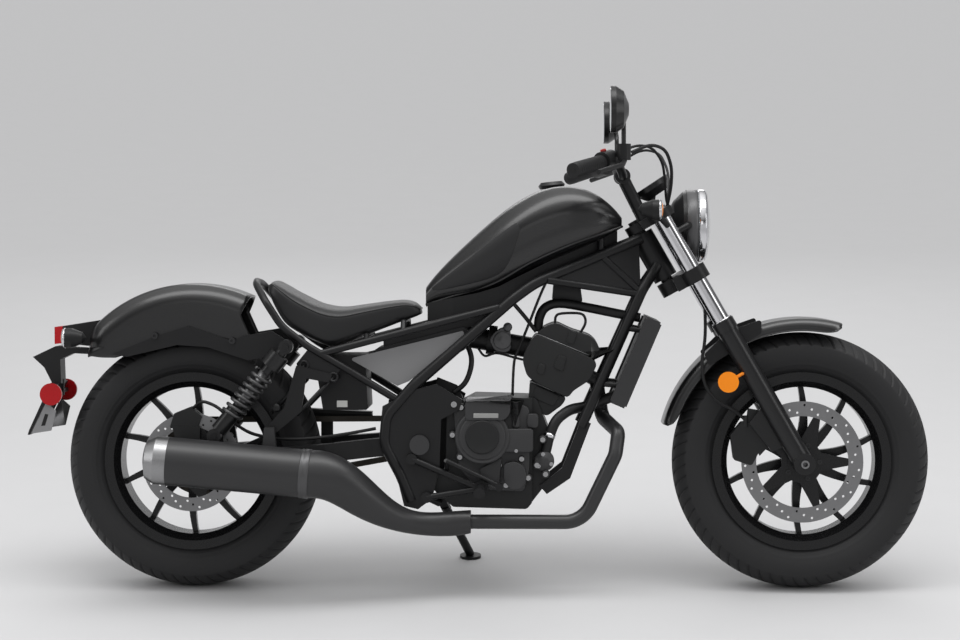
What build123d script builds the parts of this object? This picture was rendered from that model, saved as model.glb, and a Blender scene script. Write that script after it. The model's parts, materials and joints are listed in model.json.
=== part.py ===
from build123d import *
import os
from functools import cache
from math import cos, hypot, pi, radians, sin, tan

# Cruiser motorcycle, parked on its side stand. Millimetres.
# It is drawn upright: X forward from the rear axle, Y to the rider's left, Z up from the road.
# At the end the whole machine leans over onto its stand and takes its own origin.

# ---------------------------------------------------------------- driving dimensions
WHEELBASE = 1490
LEAN = 8.5
RAKE = 30
FORK_OFFSET = 62
FORK_HALF_SPACING = 105

FRONT_TYRE_RADIUS = 314
FRONT_TYRE_WIDTH = 130
REAR_TYRE_RADIUS = 312
REAR_TYRE_WIDTH = 150
RIM_SEAT_RADIUS = 203
FLANGE_RADIUS = 218

REST_GAP = 0.3
RUNNING_GAP = 0.05
MOVING_GAP = 5

FRONT_AXLE = (WHEELBASE, 0, FRONT_TYRE_RADIUS)
REAR_AXLE = (0, 0, REAR_TYRE_RADIUS)


# ---------------------------------------------------------------- shared shapes
def rod(start, end, radius):
    run = Vector(*end) - Vector(*start)
    return Solid.make_cylinder(radius, run.length, Plane(origin=start, z_dir=run))


def tube(points, radius, bends):
    path = FilletPolyline(*points, radius=bends)
    return sweep(Plane(origin=path @ 0, z_dir=path % 0) * Circle(radius), path=path)


def pair(solid):
    return [solid, mirror(solid, Plane.XZ)]


def plate(outline, y_low, y_high, corner=0):
    """A side outline of (x, z) points, carried across from y_low to y_high."""
    face = Polygon(*outline, align=None)
    if corner:
        face = fillet(face.vertices(), corner)
    side = Plane(origin=(0, y_high, 0), x_dir=(1, 0, 0), z_dir=(0, -1, 0))
    return extrude(side * face, y_high - y_low, dir=(0, -1, 0))


def turned(outline, origin, axis):
    """A closed outline of (radius, height) points, turned about an axis at the origin."""
    face = Plane.XZ * Polygon(*outline, align=None)
    return Plane(origin=origin, z_dir=axis) * revolve(face, Axis.Z)


def across(outline, centre):
    """Turned about a line through the centre that runs across the machine, towards +Y."""
    return turned(outline, centre, (0, 1, 0))


# ---------------------------------------------------------------- steering geometry
FORK_UP = Vector(-sin(radians(RAKE)), 0, cos(radians(RAKE)))
FORK_AHEAD = Vector(cos(radians(RAKE)), 0, sin(radians(RAKE)))
FORK = Plane(origin=FRONT_AXLE, x_dir=FORK_AHEAD, z_dir=FORK_UP)
STEER_AXIS = Plane(origin=Vector(*FRONT_AXLE) - FORK_AHEAD * FORK_OFFSET, x_dir=FORK_AHEAD, z_dir=FORK_UP)


def on_fork(ahead, side, up):
    return tuple(Vector(*FRONT_AXLE) + FORK_AHEAD * ahead + Vector(0, side, 0) + FORK_UP * up)


def on_stem(ahead, side, up):
    return on_fork(ahead - FORK_OFFSET, side, up)


# ---------------------------------------------------------------- wheels
SPOKES = 10
SPOKE_ROOT = 15
SPOKE_TIP = 6.5
SPOKE_DEPTH = 20
SPOKE_SWIRL = 9
BARREL_INNER = 181
BARREL_WELL = 189
SEAT_HALF_WIDTH = {"front": 45, "rear": 53}
FLANGE_THICK = 5
TREAD_DROP = 29
TREAD_EDGE = 3
FRONT_HUB_RADIUS = 36
FRONT_HUB_HALF = 72
REAR_HUB_RADIUS = 46
REAR_HUB_HALF = 93
AXLE_RADIUS = 10


def tyre(centre, radius, width, seat_half):
    bead = seat_half - REST_GAP
    half = width / 2
    low = RIM_SEAT_RADIUS + REST_GAP
    over = FLANGE_RADIUS + 2
    belly = (low + radius) / 2
    shoulder = radius - TREAD_DROP
    right = [
        Line((low, -bead), (over, -bead)),
        ThreePointArc((over, -bead), (belly, 1 - half), (shoulder, TREAD_EDGE - half)),
        ThreePointArc((shoulder, TREAD_EDGE - half), (radius, 0), (shoulder, half - TREAD_EDGE)),
        ThreePointArc((shoulder, half - TREAD_EDGE), (belly, half - 1), (over, bead)),
        Line((over, bead), (low, bead)),
        Line((low, bead), (low, -bead)),
    ]
    face = Plane.XZ * make_face(right)
    return Plane(origin=centre, z_dir=(0, 1, 0)) * revolve(face, Axis.Z)


def spoke(reach):
    root = FRONT_HUB_RADIUS - 4
    middle = (root + reach) / 2
    edges = [
        ThreePointArc(
            (root, -SPOKE_ROOT),
            (middle, SPOKE_SWIRL - (SPOKE_ROOT + SPOKE_TIP) / 2 + 1.5),
            (reach, -SPOKE_TIP),
        ),
        Line((reach, -SPOKE_TIP), (reach, SPOKE_TIP)),
        ThreePointArc(
            (reach, SPOKE_TIP),
            (middle, SPOKE_SWIRL + (SPOKE_ROOT + SPOKE_TIP) / 2 - 1.5),
            (root, SPOKE_ROOT),
        ),
        Line((root, SPOKE_ROOT), (root, -SPOKE_ROOT)),
    ]
    return extrude(make_face(edges), SPOKE_DEPTH / 2, both=True)


def cast_wheel(centre, seat_half, hub_radius, hub_half):
    edge = seat_half + FLANGE_THICK
    barrel = [
        (BARREL_INNER, -seat_half + 14),
        (BARREL_INNER, seat_half - 14),
        (RIM_SEAT_RADIUS - 7, edge),
        (FLANGE_RADIUS, edge),
        (FLANGE_RADIUS, seat_half),
        (RIM_SEAT_RADIUS, seat_half),
        (RIM_SEAT_RADIUS, seat_half - 14),
        (BARREL_WELL, seat_half - 22),
        (BARREL_WELL, -seat_half + 22),
        (RIM_SEAT_RADIUS, -seat_half + 14),
        (RIM_SEAT_RADIUS, -seat_half),
        (FLANGE_RADIUS, -seat_half),
        (FLANGE_RADIUS, -edge),
        (RIM_SEAT_RADIUS - 7, -edge),
    ]
    flat = Plane(origin=centre, z_dir=(0, 1, 0))
    wheel = across(barrel, centre)
    hub = Cylinder(hub_radius, 2 * hub_half)
    arms = PolarLocations(0, SPOKES) * spoke((BARREL_INNER + BARREL_WELL) / 2)
    wheel = wheel + flat * (hub + arms)
    return wheel - flat * Cylinder(AXLE_RADIUS + RUNNING_GAP, 4 * hub_half)


DISC_THICK = 4.5
FRONT_DISC = {"outer": 148, "inner": 112, "y": -66, "boss": 52, "arms": 5}
REAR_DISC = {"outer": 120, "inner": 87, "y": -88, "boss": 62, "arms": 5}


def brake_disc(centre, hub_radius, sizes):
    ring = Cylinder(sizes["outer"], DISC_THICK) - Cylinder(sizes["inner"], DISC_THICK)
    boss = Cylinder(sizes["boss"], DISC_THICK)
    arm = Pos((sizes["boss"] + sizes["inner"]) / 2, 0, 0) * Box(
        sizes["inner"] - sizes["boss"] + 8, 16, DISC_THICK
    )
    disc = ring + boss + PolarLocations(0, sizes["arms"]) * arm
    disc = disc - Cylinder(hub_radius + REST_GAP, DISC_THICK)
    return Plane(origin=(centre[0], sizes["y"], centre[2]), z_dir=(0, 1, 0)) * disc


CHAIN_PITCH = 15.875
CHAIN_Y = 90
REAR_TEETH = 36
FRONT_TEETH = 14
ROLLER_RADIUS = 5
SPROCKET_THICK = 6
CHAIN_INNER_HALF = 5
CHAIN_PLATE = 2
CHAIN_PLATE_HALF = 7
SPROCKET_CLEAR = 3
DRIVE_CENTRE = (632, 0, 372)


def pitch_radius(teeth):
    return CHAIN_PITCH / 2 / sin(pi / teeth)


def sprocket(teeth, hole):
    pitch = pitch_radius(teeth)
    disc = Cylinder(pitch + ROLLER_RADIUS - 0.5, SPROCKET_THICK)
    seats = PolarLocations(pitch, teeth) * Cylinder(ROLLER_RADIUS + REST_GAP, SPROCKET_THICK)
    return disc - seats - Cylinder(hole, SPROCKET_THICK)


def rear_sprocket():
    flat = Plane(origin=(REAR_AXLE[0], CHAIN_Y, REAR_AXLE[2]), z_dir=(0, 1, 0))
    carrier = Pos(0, 0, -SPROCKET_THICK / 2 - 6) * Cylinder(58, 12)
    carrier = carrier - Cylinder(REAR_HUB_RADIUS + REST_GAP, 60)
    return flat * (sprocket(REAR_TEETH, REAR_HUB_RADIUS + REST_GAP) + carrier)


def chain_frame():
    """The chain's side view: the two centres, the way along them and the tangent directions."""
    rear = Vector(REAR_AXLE[0], REAR_AXLE[2])
    front = Vector(DRIVE_CENTRE[0], DRIVE_CENTRE[2])
    span = (front - rear).length
    along = (front - rear).normalized()
    up = Vector(-along.Y, along.X)
    drop = (pitch_radius(REAR_TEETH) - pitch_radius(FRONT_TEETH)) / span
    flat = (1 - drop**2) ** 0.5
    return rear, front, along, along * drop + up * flat, along * drop - up * flat


def chain_band(offset, y_centre):
    """The side plates' band: two arcs about the sprockets and the two straight runs."""
    rear = pitch_radius(REAR_TEETH) + offset
    front = pitch_radius(FRONT_TEETH) + offset
    a, b, along, top, low = chain_frame()
    edges = [
        Line(a + top * rear, b + top * front),
        ThreePointArc(b + top * front, b + along * front, b + low * front),
        Line(b + low * front, a + low * rear),
        ThreePointArc(a + low * rear, a - along * rear, a + top * rear),
    ]
    side = Plane(origin=(0, y_centre + CHAIN_PLATE / 2, 0), x_dir=(1, 0, 0), z_dir=(0, -1, 0))
    return extrude(side * make_face(edges), CHAIN_PLATE, dir=(0, -1, 0))


def chain_rollers():
    """Roller centres in the front sprocket's seats and along both straight runs."""
    a, b, along, top, low = chain_frame()
    front = pitch_radius(FRONT_TEETH)
    rear = pitch_radius(REAR_TEETH)
    spots = []
    for seat in range(FRONT_TEETH):
        turn = 2 * pi * seat / FRONT_TEETH
        way = Vector(cos(turn), sin(turn))
        if way.dot(along) > 0.3:
            spots.append(b + way * front)
    for side in (top, low):
        start, end = b + side * front, a + side * rear
        step = (end - start).normalized() * CHAIN_PITCH
        count = int((start - end).length / CHAIN_PITCH - SPROCKET_CLEAR) - 2
        spots += [start + step * (index + 2) for index in range(count + 1)]
    return spots


def chain():
    links = []
    for sign in (-1, 1):
        y = CHAIN_Y + sign * (CHAIN_INNER_HALF + CHAIN_PLATE / 2)
        links.append(chain_band(CHAIN_PLATE_HALF, y) - chain_band(-CHAIN_PLATE_HALF, y))
    half = CHAIN_INNER_HALF
    rollers = [rod((p.X, CHAIN_Y - half, p.Y), (p.X, CHAIN_Y + half, p.Y), ROLLER_RADIUS) for p in chain_rollers()]
    return links[0] + links[1] + rollers


# ---------------------------------------------------------------- fork and steering
FORK_TUBE_RADIUS = 20.5
SLIDER_RADIUS = 25
SLIDER_TOP = 372
COLLAR_RADIUS = 28
COLLAR_LENGTH = 26
FORK_TOP = 712
LOWER_CLAMP = 528
UPPER_CLAMP = 694
CLAMP_THICK = 34
UPPER_CLAMP_THICK = 22
STEM_RADIUS = 15
HEAD_RADIUS = 30


def front_axle():
    foot_inner = FORK_HALF_SPACING - SLIDER_RADIUS
    end = FORK_HALF_SPACING + 34
    axle = rod((WHEELBASE, -end, FRONT_TYRE_RADIUS), (WHEELBASE, end, FRONT_TYRE_RADIUS), AXLE_RADIUS)
    for sign in (-1, 1):
        collar = rod(
            (WHEELBASE, sign * (FRONT_HUB_HALF + 1), FRONT_TYRE_RADIUS),
            (WHEELBASE, sign * (foot_inner - REST_GAP), FRONT_TYRE_RADIUS),
            AXLE_RADIUS + 6,
        )
        axle = axle + collar
    bore = rod(
        (WHEELBASE, -end - 1, FRONT_TYRE_RADIUS),
        (WHEELBASE, -end + 30, FRONT_TYRE_RADIUS),
        AXLE_BORE_RADIUS,
    )
    return axle - bore


AXLE_BORE_RADIUS = 6


@cache
def fork_tubes():
    return pair(
        rod(
            on_fork(0, FORK_HALF_SPACING, SLIDER_TOP + COLLAR_LENGTH + REST_GAP),
            on_fork(0, FORK_HALF_SPACING, FORK_TOP),
            FORK_TUBE_RADIUS,
        )
    )


@cache
def sliders():
    foot = [
        (0, -SLIDER_RADIUS),
        (AXLE_RADIUS + 16, -SLIDER_RADIUS),
        (AXLE_RADIUS + 16, SLIDER_RADIUS),
        (0, SLIDER_RADIUS),
    ]
    leg = rod(on_fork(0, FORK_HALF_SPACING, 0), on_fork(0, FORK_HALF_SPACING, SLIDER_TOP), SLIDER_RADIUS)
    collar = rod(
        on_fork(0, FORK_HALF_SPACING, SLIDER_TOP),
        on_fork(0, FORK_HALF_SPACING, SLIDER_TOP + COLLAR_LENGTH),
        COLLAR_RADIUS,
    )
    boss = across(foot, on_fork(0, FORK_HALF_SPACING, 0))
    hole = rod(
        (WHEELBASE, 0, FRONT_TYRE_RADIUS),
        (WHEELBASE, 3 * FORK_HALF_SPACING, FRONT_TYRE_RADIUS),
        AXLE_RADIUS + RUNNING_GAP,
    )
    left = leg + collar + boss - hole
    lug_points = [on_fork(0, 0, 55), on_fork(-52, 0, 62), on_fork(-66, 0, 150), on_fork(0, 0, 176)]
    caliper_y = FRONT_DISC["y"] - 17 - REST_GAP
    lug = plate([(x, z) for x, _, z in lug_points], caliper_y - 14, caliper_y)
    return [left, mirror(left, Plane.XZ) + lug - mirror(hole, Plane.XZ)]


def clamp_plate(thick, stem_gap):
    side = 2 * FORK_HALF_SPACING
    tubes = [(-side / 2, 0), (side / 2, 0)]
    ears = [Pos(0, y) * Circle(FORK_TUBE_RADIUS + 11) for _, y in [(0, -side / 2), (0, side / 2)]]
    bridge = Pos(-FORK_OFFSET / 2, 0) * Rectangle(46, side)
    middle = Pos(-FORK_OFFSET, 0) * Circle(STEM_RADIUS + 14)
    web = Pos(-FORK_OFFSET / 2, 0) * Rectangle(FORK_OFFSET, 60)
    face = ears[0] + ears[1] + bridge + middle + web
    for x, y in tubes:
        face = face - Pos(y, x) * Circle(FORK_TUBE_RADIUS + RUNNING_GAP)
    return extrude(face, thick / 2, both=True)


@cache
def triple_clamps():
    lower = FORK * Pos(0, 0, LOWER_CLAMP) * clamp_plate(CLAMP_THICK, 0)
    upper = FORK * Pos(0, 0, UPPER_CLAMP) * clamp_plate(UPPER_CLAMP_THICK, 0)
    stem = rod(on_stem(0, 0, LOWER_CLAMP), on_stem(0, 0, UPPER_CLAMP + UPPER_CLAMP_THICK / 2 + 8), STEM_RADIUS)
    return lower + upper + stem


BAR_RADIUS = 11
BAR_POINTS = [
    (1052, 0, 1010),
    (1052, 85, 1010),
    (1036, 165, 1042),
    (1012, 262, 1042),
    (930, 392, 1016),
]
BAR_BENDS = [60, 60, 80]
RISER_SPACING = 45


@cache
def handlebar():
    left = tube(BAR_POINTS, BAR_RADIUS, BAR_BENDS)
    bar = left + mirror(left, Plane.XZ)
    for sign in (-1, 1):
        foot = on_stem(24, sign * RISER_SPACING, UPPER_CLAMP + UPPER_CLAMP_THICK / 2)
        top = (BAR_POINTS[0][0], sign * RISER_SPACING, BAR_POINTS[0][2])
        bar = bar + rod(foot, top, 14)
        bar = bar + rod(
            (top[0], sign * (RISER_SPACING + 17), top[2]),
            (top[0], sign * (RISER_SPACING - 17), top[2]),
            19,
        )
    return bar - triple_clamps()


GRIP_RADIUS = 17
GRIP_LENGTH = 122


def bar_end_line():
    tip = Vector(*BAR_POINTS[-1])
    inner = Vector(*BAR_POINTS[-2])
    return tip, (tip - inner).normalized()


def grips():
    tip, out = bar_end_line()
    start = tip - out * GRIP_LENGTH
    end = tip + out * 6
    grip = rod(tuple(start), tuple(end), GRIP_RADIUS)
    grip = grip - rod(tuple(start), tuple(tip), BAR_RADIUS + RUNNING_GAP)
    return pair(grip)


def hand_controls():
    tip, out = bar_end_line()
    inner = tip - out * (GRIP_LENGTH + 2)
    inner_end = inner - out * 44
    housing = rod(tuple(inner), tuple(inner_end), 24) - rod(
        tuple(tip), tuple(inner_end - out * 9), BAR_RADIUS + RUNNING_GAP
    )
    ahead = Vector(1, 0, 0) - out * out.X
    ahead = ahead.normalized()
    pivot = inner_end + ahead * 34
    lever_tip = inner + out * 120 + ahead * 62
    neck = rod(tuple(inner_end + ahead * 16 + out * 12), tuple(pivot), 11)
    lever = tube(
        [tuple(pivot - out * 4), tuple(pivot + out * 50 + ahead * 26), tuple(lever_tip)], 6, [60]
    )
    tank = rod(tuple(pivot + Vector(0, 0, 2)), tuple(pivot + Vector(0, 0, 40)), 17)
    return [control - handlebar() for control in pair(housing + neck + lever + tank)]


MIRROR_Y = 330
MIRROR_RADIUS = 55
MIRROR_X = 1015
MIRROR_Z = 1158


def mirrors():
    bowl = turned(
        [(0, 0), (MIRROR_RADIUS, 0), (MIRROR_RADIUS, 12), (MIRROR_RADIUS - 12, 30), (14, 42), (0, 42)],
        (MIRROR_X, MIRROR_Y, MIRROR_Z),
        (1, 0, 0),
    )
    tip, out = bar_end_line()
    inner_end = tip - out * (GRIP_LENGTH + 46)
    ahead = (Vector(1, 0, 0) - out * out.X).normalized()
    base = inner_end + ahead * 34 + Vector(0, 0, 40 + REST_GAP)
    stem = tube(
        [tuple(base), tuple(base + Vector(0, 0, 34)), (MIRROR_X + 30, MIRROR_Y, MIRROR_Z - 10)], 5.5, [24]
    )
    return pair(bowl + stem)


LAMP_X = 1206
LAMP_Z = 890
LAMP_RADIUS = 86


@cache
def headlamp_shell():
    outline = [
        (0, -44),
        (34, -42),
        (60, -28),
        (LAMP_RADIUS - 4, -6),
        (LAMP_RADIUS, 6),
        (LAMP_RADIUS, 30),
        (0, 30),
    ]
    shell = turned(outline, (LAMP_X, 0, LAMP_Z), (1, 0, 0))
    for sign in (-1, 1):
        shell = shell + rod(
            (LAMP_X + 4, 0, LAMP_Z), (LAMP_X + 4, sign * (FORK_HALF_SPACING - 6), LAMP_Z), 9
        )
        stay_root = on_fork(FORK_TUBE_RADIUS - 6, sign * FORK_HALF_SPACING, 640)
        shell = shell + rod((LAMP_X + 4, sign * (FORK_HALF_SPACING - 6), LAMP_Z), stay_root, 8)
    for stay in fork_tubes():
        shell = shell - stay
    return shell


def headlamp_lens():
    outline = [(0, 30.3), (LAMP_RADIUS + 2, 30.3), (LAMP_RADIUS + 2, 48), (LAMP_RADIUS - 12, 54), (45, 60), (0, 63)]
    return turned(outline, (LAMP_X, 0, LAMP_Z), (1, 0, 0))


def instrument():
    face = on_stem(82, 0, UPPER_CLAMP + 76)
    dial = turned([(0, -30), (30, -30), (44, -12), (46, 0), (0, 0)], face, (-0.55, 0, 0.83))
    neck = rod(on_stem(42, 0, UPPER_CLAMP + UPPER_CLAMP_THICK / 2 + REST_GAP), on_stem(76, 0, UPPER_CLAMP + 56), 9)
    neck = neck - triple_clamps()
    return dial + neck


SIGNAL_LENGTH = 58
SIGNAL_RADIUS = 24


def signal(tip, facing):
    outline = [(0, 0), (SIGNAL_RADIUS - 3, 0), (SIGNAL_RADIUS, 4), (SIGNAL_RADIUS, 22), (14, 48), (0, SIGNAL_LENGTH)]
    return turned(outline, tip, (-facing, 0, 0))


def front_signals():
    bullet = signal((1141, 182, 927), 1)
    stem = rod((1124, 172, 924), on_fork(0, FORK_HALF_SPACING + FORK_TUBE_RADIUS + 1, 664), 7)
    return [piece - leg - triple_clamps() for piece, leg in zip(pair(bullet + stem), fork_tubes())]


FRONT_FENDER_RADIUS = 352
FRONT_FENDER_HALF = 76
FRONT_FENDER_START = 74
FRONT_FENDER_SWEEP = 91
FENDER_THICK = 4


def front_fender():
    skirt = 30
    outer = FRONT_FENDER_RADIUS
    half = FRONT_FENDER_HALF
    outline = [(outer - skirt, -half), (outer - 12, -half), (outer, -half + 24), (outer, half - 24), (outer - 12, half), (outer - skirt, half)]
    inner = [(r - FENDER_THICK if abs(y) < half - 1 else r - 1.5, y * (half - FENDER_THICK) / half) for r, y in outline]
    ring = outline + list(reversed(inner))
    face = Plane.XZ * Polygon(*ring, align=None)
    arc = revolve(face, Axis.Z, FRONT_FENDER_SWEEP)
    right_side = Plane(origin=FRONT_AXLE, x_dir=(1, 0, 0), z_dir=(0, -1, 0))
    return right_side * Rot(0, 0, FRONT_FENDER_START) * arc


def front_fender_stays():
    outline = [on_fork(86, 0, 352), (1388, 0, 628), (1262, 0, 548), on_fork(-76, 0, 348), on_fork(0, 0, 368)]
    points = [(x, z) for x, _, z in outline]
    return pair(plate(points, FRONT_FENDER_HALF + REST_GAP, FORK_HALF_SPACING - SLIDER_RADIUS - REST_GAP, 6))


FRONT_CALIPER = [(1322, 320), (1366, 306), (1384, 340), (1402, 372), (1380, 415), (1340, 412), (1314, 380)]


@cache
def front_caliper():
    y = FRONT_DISC["y"]
    body = plate(FRONT_CALIPER, y - 17, y + 18, 8)
    body = body + plate([(1385, 330), (1418, 366), (1390, 440), (1356, 446), (1350, 400)], y - 17, y - 9)
    body = body + rod((1352, y - 12, 400), (1352, y - 12, 428), 7)
    slot = across(
        [(0, y - 5), (FRONT_DISC["outer"] + MOVING_GAP, y - 5), (FRONT_DISC["outer"] + MOVING_GAP, y + 5), (0, y + 5)],
        (WHEELBASE, 0, FRONT_TYRE_RADIUS),
    )
    return body - slot


def front_reflectors():
    spot = on_fork(-61, 0, 264)
    disc = rod((spot[0], 124, spot[2]), (spot[0], 132, spot[2]), 25)
    arm = rod((spot[0], 117, spot[2]), (spot[0], 124, spot[2]), 9)
    bracket = rod((spot[0], 119, spot[2]), on_fork(-8, 119, 264), 4)
    return [piece - leg for piece, leg in zip(pair(disc + arm + bracket), sliders())]


# ---------------------------------------------------------------- frame
RAIL_RADIUS = 13.5
HEAD_LOW = 552
HEAD_HIGH = 676
RAIL_POINTS = [
    (1098, 26, 858),
    (839, 104, 751),
    (786, 110, 712),
    (545, 116, 502),
    (480, 118, 428),
    (474, 118, 360),
    (513, 118, 286),
    (540, 118, 222),
]
RAIL_BENDS = [180, 120, 120, 60, 60, 120]
DOWN_TUBE_POINTS = [(1138, 22, 792), (1100, 55, 733), (951, 82, 400)]
DOWN_TUBE_BENDS = [60]
TANK_POST_X = 786
PIVOT_PLATE = [
    (470, 452),
    (546, 492),
    (600, 506),
    (664, 468),
    (656, 444),
    (612, 420),
    (608, 300),
    (590, 228),
    (556, 202),
    (522, 210),
    (500, 300),
    (462, 370),
]
SWINGARM_PIVOT = (560, 0, 359)
PIVOT_PLATE_Y = 112
PIVOT_PLATE_THICK = 12


@cache
def main_frame():
    head = rod(on_stem(0, 0, HEAD_LOW), on_stem(0, 0, HEAD_HIGH), HEAD_RADIUS)
    left = tube(RAIL_POINTS, RAIL_RADIUS, RAIL_BENDS)
    down = tube(DOWN_TUBE_POINTS, RAIL_RADIUS, DOWN_TUBE_BENDS)
    brace = rod((869, 102, 757), (1096, 54, 722), 9)
    diagonal = rod((999, 56, 817), (1096, 54, 728), 9)
    pivot = plate(PIVOT_PLATE, PIVOT_PLATE_Y, PIVOT_PLATE_Y + PIVOT_PLATE_THICK)
    hanger = plate([(952, 420), (975, 408), (925, 275), (868, 236), (850, 256), (905, 300)], HANGER_IN, HANGER_IN + HANGER_THICK)
    tank_post = rod((TANK_POST_X, 36, 712), (TANK_POST_X, 36, 770), 9)
    front_post = rod((1000, 48, 816), (1000, 48, 880), 8)
    high_stay = rod((1062, 64, 640), (1112, 64, 632), 7)
    low_stay = rod((1000, 76, 505), (1052, 76, 500), 7)
    half = left + down + brace + diagonal + pivot + hanger + tank_post + front_post + high_stay + low_stay
    frame = head + half + mirror(half, Plane.XZ)
    frame = frame + rod((786, -110, 712), (786, 110, 712), 11)
    frame = frame + rod((530, -118, 470), (530, 118, 470), 11)
    frame = frame + rod((556, -118, 228), (556, 118, 228), 11)
    bore = rod(on_stem(0, 0, HEAD_LOW - 40), on_stem(0, 0, HEAD_HIGH + 40), STEM_RADIUS + RUNNING_GAP)
    x, _, z = SWINGARM_PIVOT
    frame = frame + stand_bracket() - bore
    frame = frame - rod((x, -200, z), (x, 200, z), PIVOT_BOLT_RADIUS + RUNNING_GAP)
    return frame - tank() - radiator()


HOOP_RADIUS = 9
BOX_HANGER = (334, 583)
SEAT_REST_RADIUS = 7
SEAT_RESTS = [
    # x, height, rail height below it
    (430, 621.8, 607),
    (520, 655.1, 631),
]
HOOP_Y = 126
HOOP_POINTS = [
    (500, 112, 470),
    (370, HOOP_Y, 550),
    (288, HOOP_Y, 598),
    (226, HOOP_Y, 645),
    (186, HOOP_Y - 6, 706),
    (158, 66, 746),
    (152, 0, 752),
]
HOOP_BENDS = [120, 160, 120, 40, 60]
SEAT_RAIL = [(752, 116, 692), (322, HOOP_Y, 580)]


def subframe():
    hoop = tube(HOOP_POINTS, HOOP_RADIUS, HOOP_BENDS)
    rail = rod(SEAT_RAIL[0], SEAT_RAIL[1], HOOP_RADIUS)
    half = hoop + rail
    x, z = BOX_HANGER
    whole = half + mirror(half, Plane.XZ) + rod((x, -HOOP_Y, z), (x, HOOP_Y, z), HOOP_RADIUS)
    for x, z, rail_z in SEAT_RESTS:
        whole = whole + rod((x, -100, z), (x, 100, z), SEAT_REST_RADIUS)
        for sign in (-1, 1):
            whole = whole + rod((x, sign * 118, rail_z), (x, sign * 98, z), SEAT_REST_RADIUS)
    gusset = plate([(296, 598), (262, 556), (268, 528), (345, 508), (372, 546)], HANGER_Y + 4 + REST_GAP, HANGER_Y + 12)
    return whole + gusset - main_frame()


INFILL_THICK = 3
INFILL_PANELS = [
    # corners on the tubes' centre lines
    [(872, 98, 758), (999, 57, 816), (1094, 54, 726)],
    [(1001, 57, 816), (1092, 30, 854), (1096, 53, 730)],
]


def frame_covers():
    covers = []
    for corners in INFILL_PANELS:
        a, b, c = [Vector(*corner) for corner in corners]
        across_panel = (b - a).cross(c - a).normalized() * INFILL_THICK
        face = make_face(Polyline(a, b, c, close=True))
        panel = extrude(face, INFILL_THICK, dir=tuple(across_panel)) - main_frame()
        largest = panel.solids().sort_by(SortBy.VOLUME)[-1]
        covers += pair(largest)
    return covers


# ---------------------------------------------------------------- swingarm, shocks and rear axle
ARM_POINTS = [(560, 88, 359), (440, 88, 348), (330, 119, 338), (-38, 119, 312)]
ARM_HALF_WIDTH = 14
ARM_HALF_HEIGHT = 22
PIVOT_BOLT_RADIUS = 9
SHOCK_Y = 150
SHOCK_TOP = (239, SHOCK_Y, 597)
SHOCK_FOOT = (65, SHOCK_Y, 382)


@cache
def swingarm():
    spots = [Vector(*p) for p in ARM_POINTS]
    flat = Polyline(*spots)
    section = Plane(origin=spots[0], x_dir=(0, 1, 0), z_dir=spots[1] - spots[0]) * Rectangle(
        2 * ARM_HALF_WIDTH, 2 * ARM_HALF_HEIGHT
    )
    arm = sweep(section, path=flat, transition=Transition.RIGHT)
    lug = rod((SHOCK_FOOT[0], 112, SHOCK_FOOT[2]), (SHOCK_FOOT[0], SHOCK_Y + 16, SHOCK_FOOT[2]), 8)
    stand = plate([(40, 325), (90, 330), (80, 394), (50, 394)], 112, 126)
    x, y, z = ARM_POINTS[0]
    eye = rod((x, y - ARM_HALF_WIDTH, z), (x, y + ARM_HALF_WIDTH, z), ARM_HALF_HEIGHT)
    half = arm + eye + lug + stand
    cross = rod((530, -100, 357), (530, 100, 357), 24)
    whole = half + mirror(half, Plane.XZ) + cross
    axle_hole = rod((0, -200, REAR_TYRE_RADIUS), (0, 200, REAR_TYRE_RADIUS), AXLE_RADIUS + RUNNING_GAP)
    bolt_hole = rod((SWINGARM_PIVOT[0], -200, 359), (SWINGARM_PIVOT[0], 200, 359), PIVOT_BOLT_RADIUS + RUNNING_GAP)
    return whole - axle_hole - bolt_hole


def pivot_bolt():
    end = PIVOT_PLATE_Y + PIVOT_PLATE_THICK + REST_GAP
    x, _, z = SWINGARM_PIVOT
    bolt = rod((x, -end, z), (x, end, z), PIVOT_BOLT_RADIUS)
    for sign in (-1, 1):
        bolt = bolt + rod((x, sign * end, z), (x, sign * (end + 12), z), 24)
    return bolt


def rear_axle():
    arm_in = ARM_POINTS[-1][1] - ARM_HALF_WIDTH
    arm_out = ARM_POINTS[-1][1] + ARM_HALF_WIDTH
    x, _, z = REAR_AXLE
    axle = rod((x, -arm_out - 8, z), (x, arm_out + 8, z), AXLE_RADIUS)
    for sign in (-1, 1):
        axle = axle + rod((x, sign * (REAR_HUB_HALF + 1), z), (x, sign * (arm_in - REST_GAP), z), AXLE_RADIUS + 6)
        axle = axle + rod((x, sign * (arm_out + REST_GAP), z), (x, sign * (arm_out + 8), z), AXLE_RADIUS + 8)
    return [axle, pivot_bolt()]


COILS = 8
COIL_WIRE = 5


def shock_line(along):
    top, foot = Vector(*SHOCK_TOP), Vector(*SHOCK_FOOT)
    return tuple(top + (foot - top).normalized() * along)


def shock_length():
    return (Vector(*SHOCK_FOOT) - Vector(*SHOCK_TOP)).length


def shocks():
    eye_gap = 8 + RUNNING_GAP
    long = shock_length()
    body = rod(shock_line(14), shock_line(long - 14), 13)
    body = body + rod(shock_line(24), shock_line(62), 25)
    body = body + rod(shock_line(long - 80), shock_line(long - 16), 20)
    for spot in (SHOCK_TOP, SHOCK_FOOT):
        body = body + rod((spot[0], SHOCK_Y - 13, spot[2]), (spot[0], SHOCK_Y + 13, spot[2]), 17)
    for spot in (SHOCK_TOP, SHOCK_FOOT):
        body = body - rod((spot[0], SHOCK_Y - 40, spot[2]), (spot[0], SHOCK_Y + 40, spot[2]), eye_gap)
    return pair(body)


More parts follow.
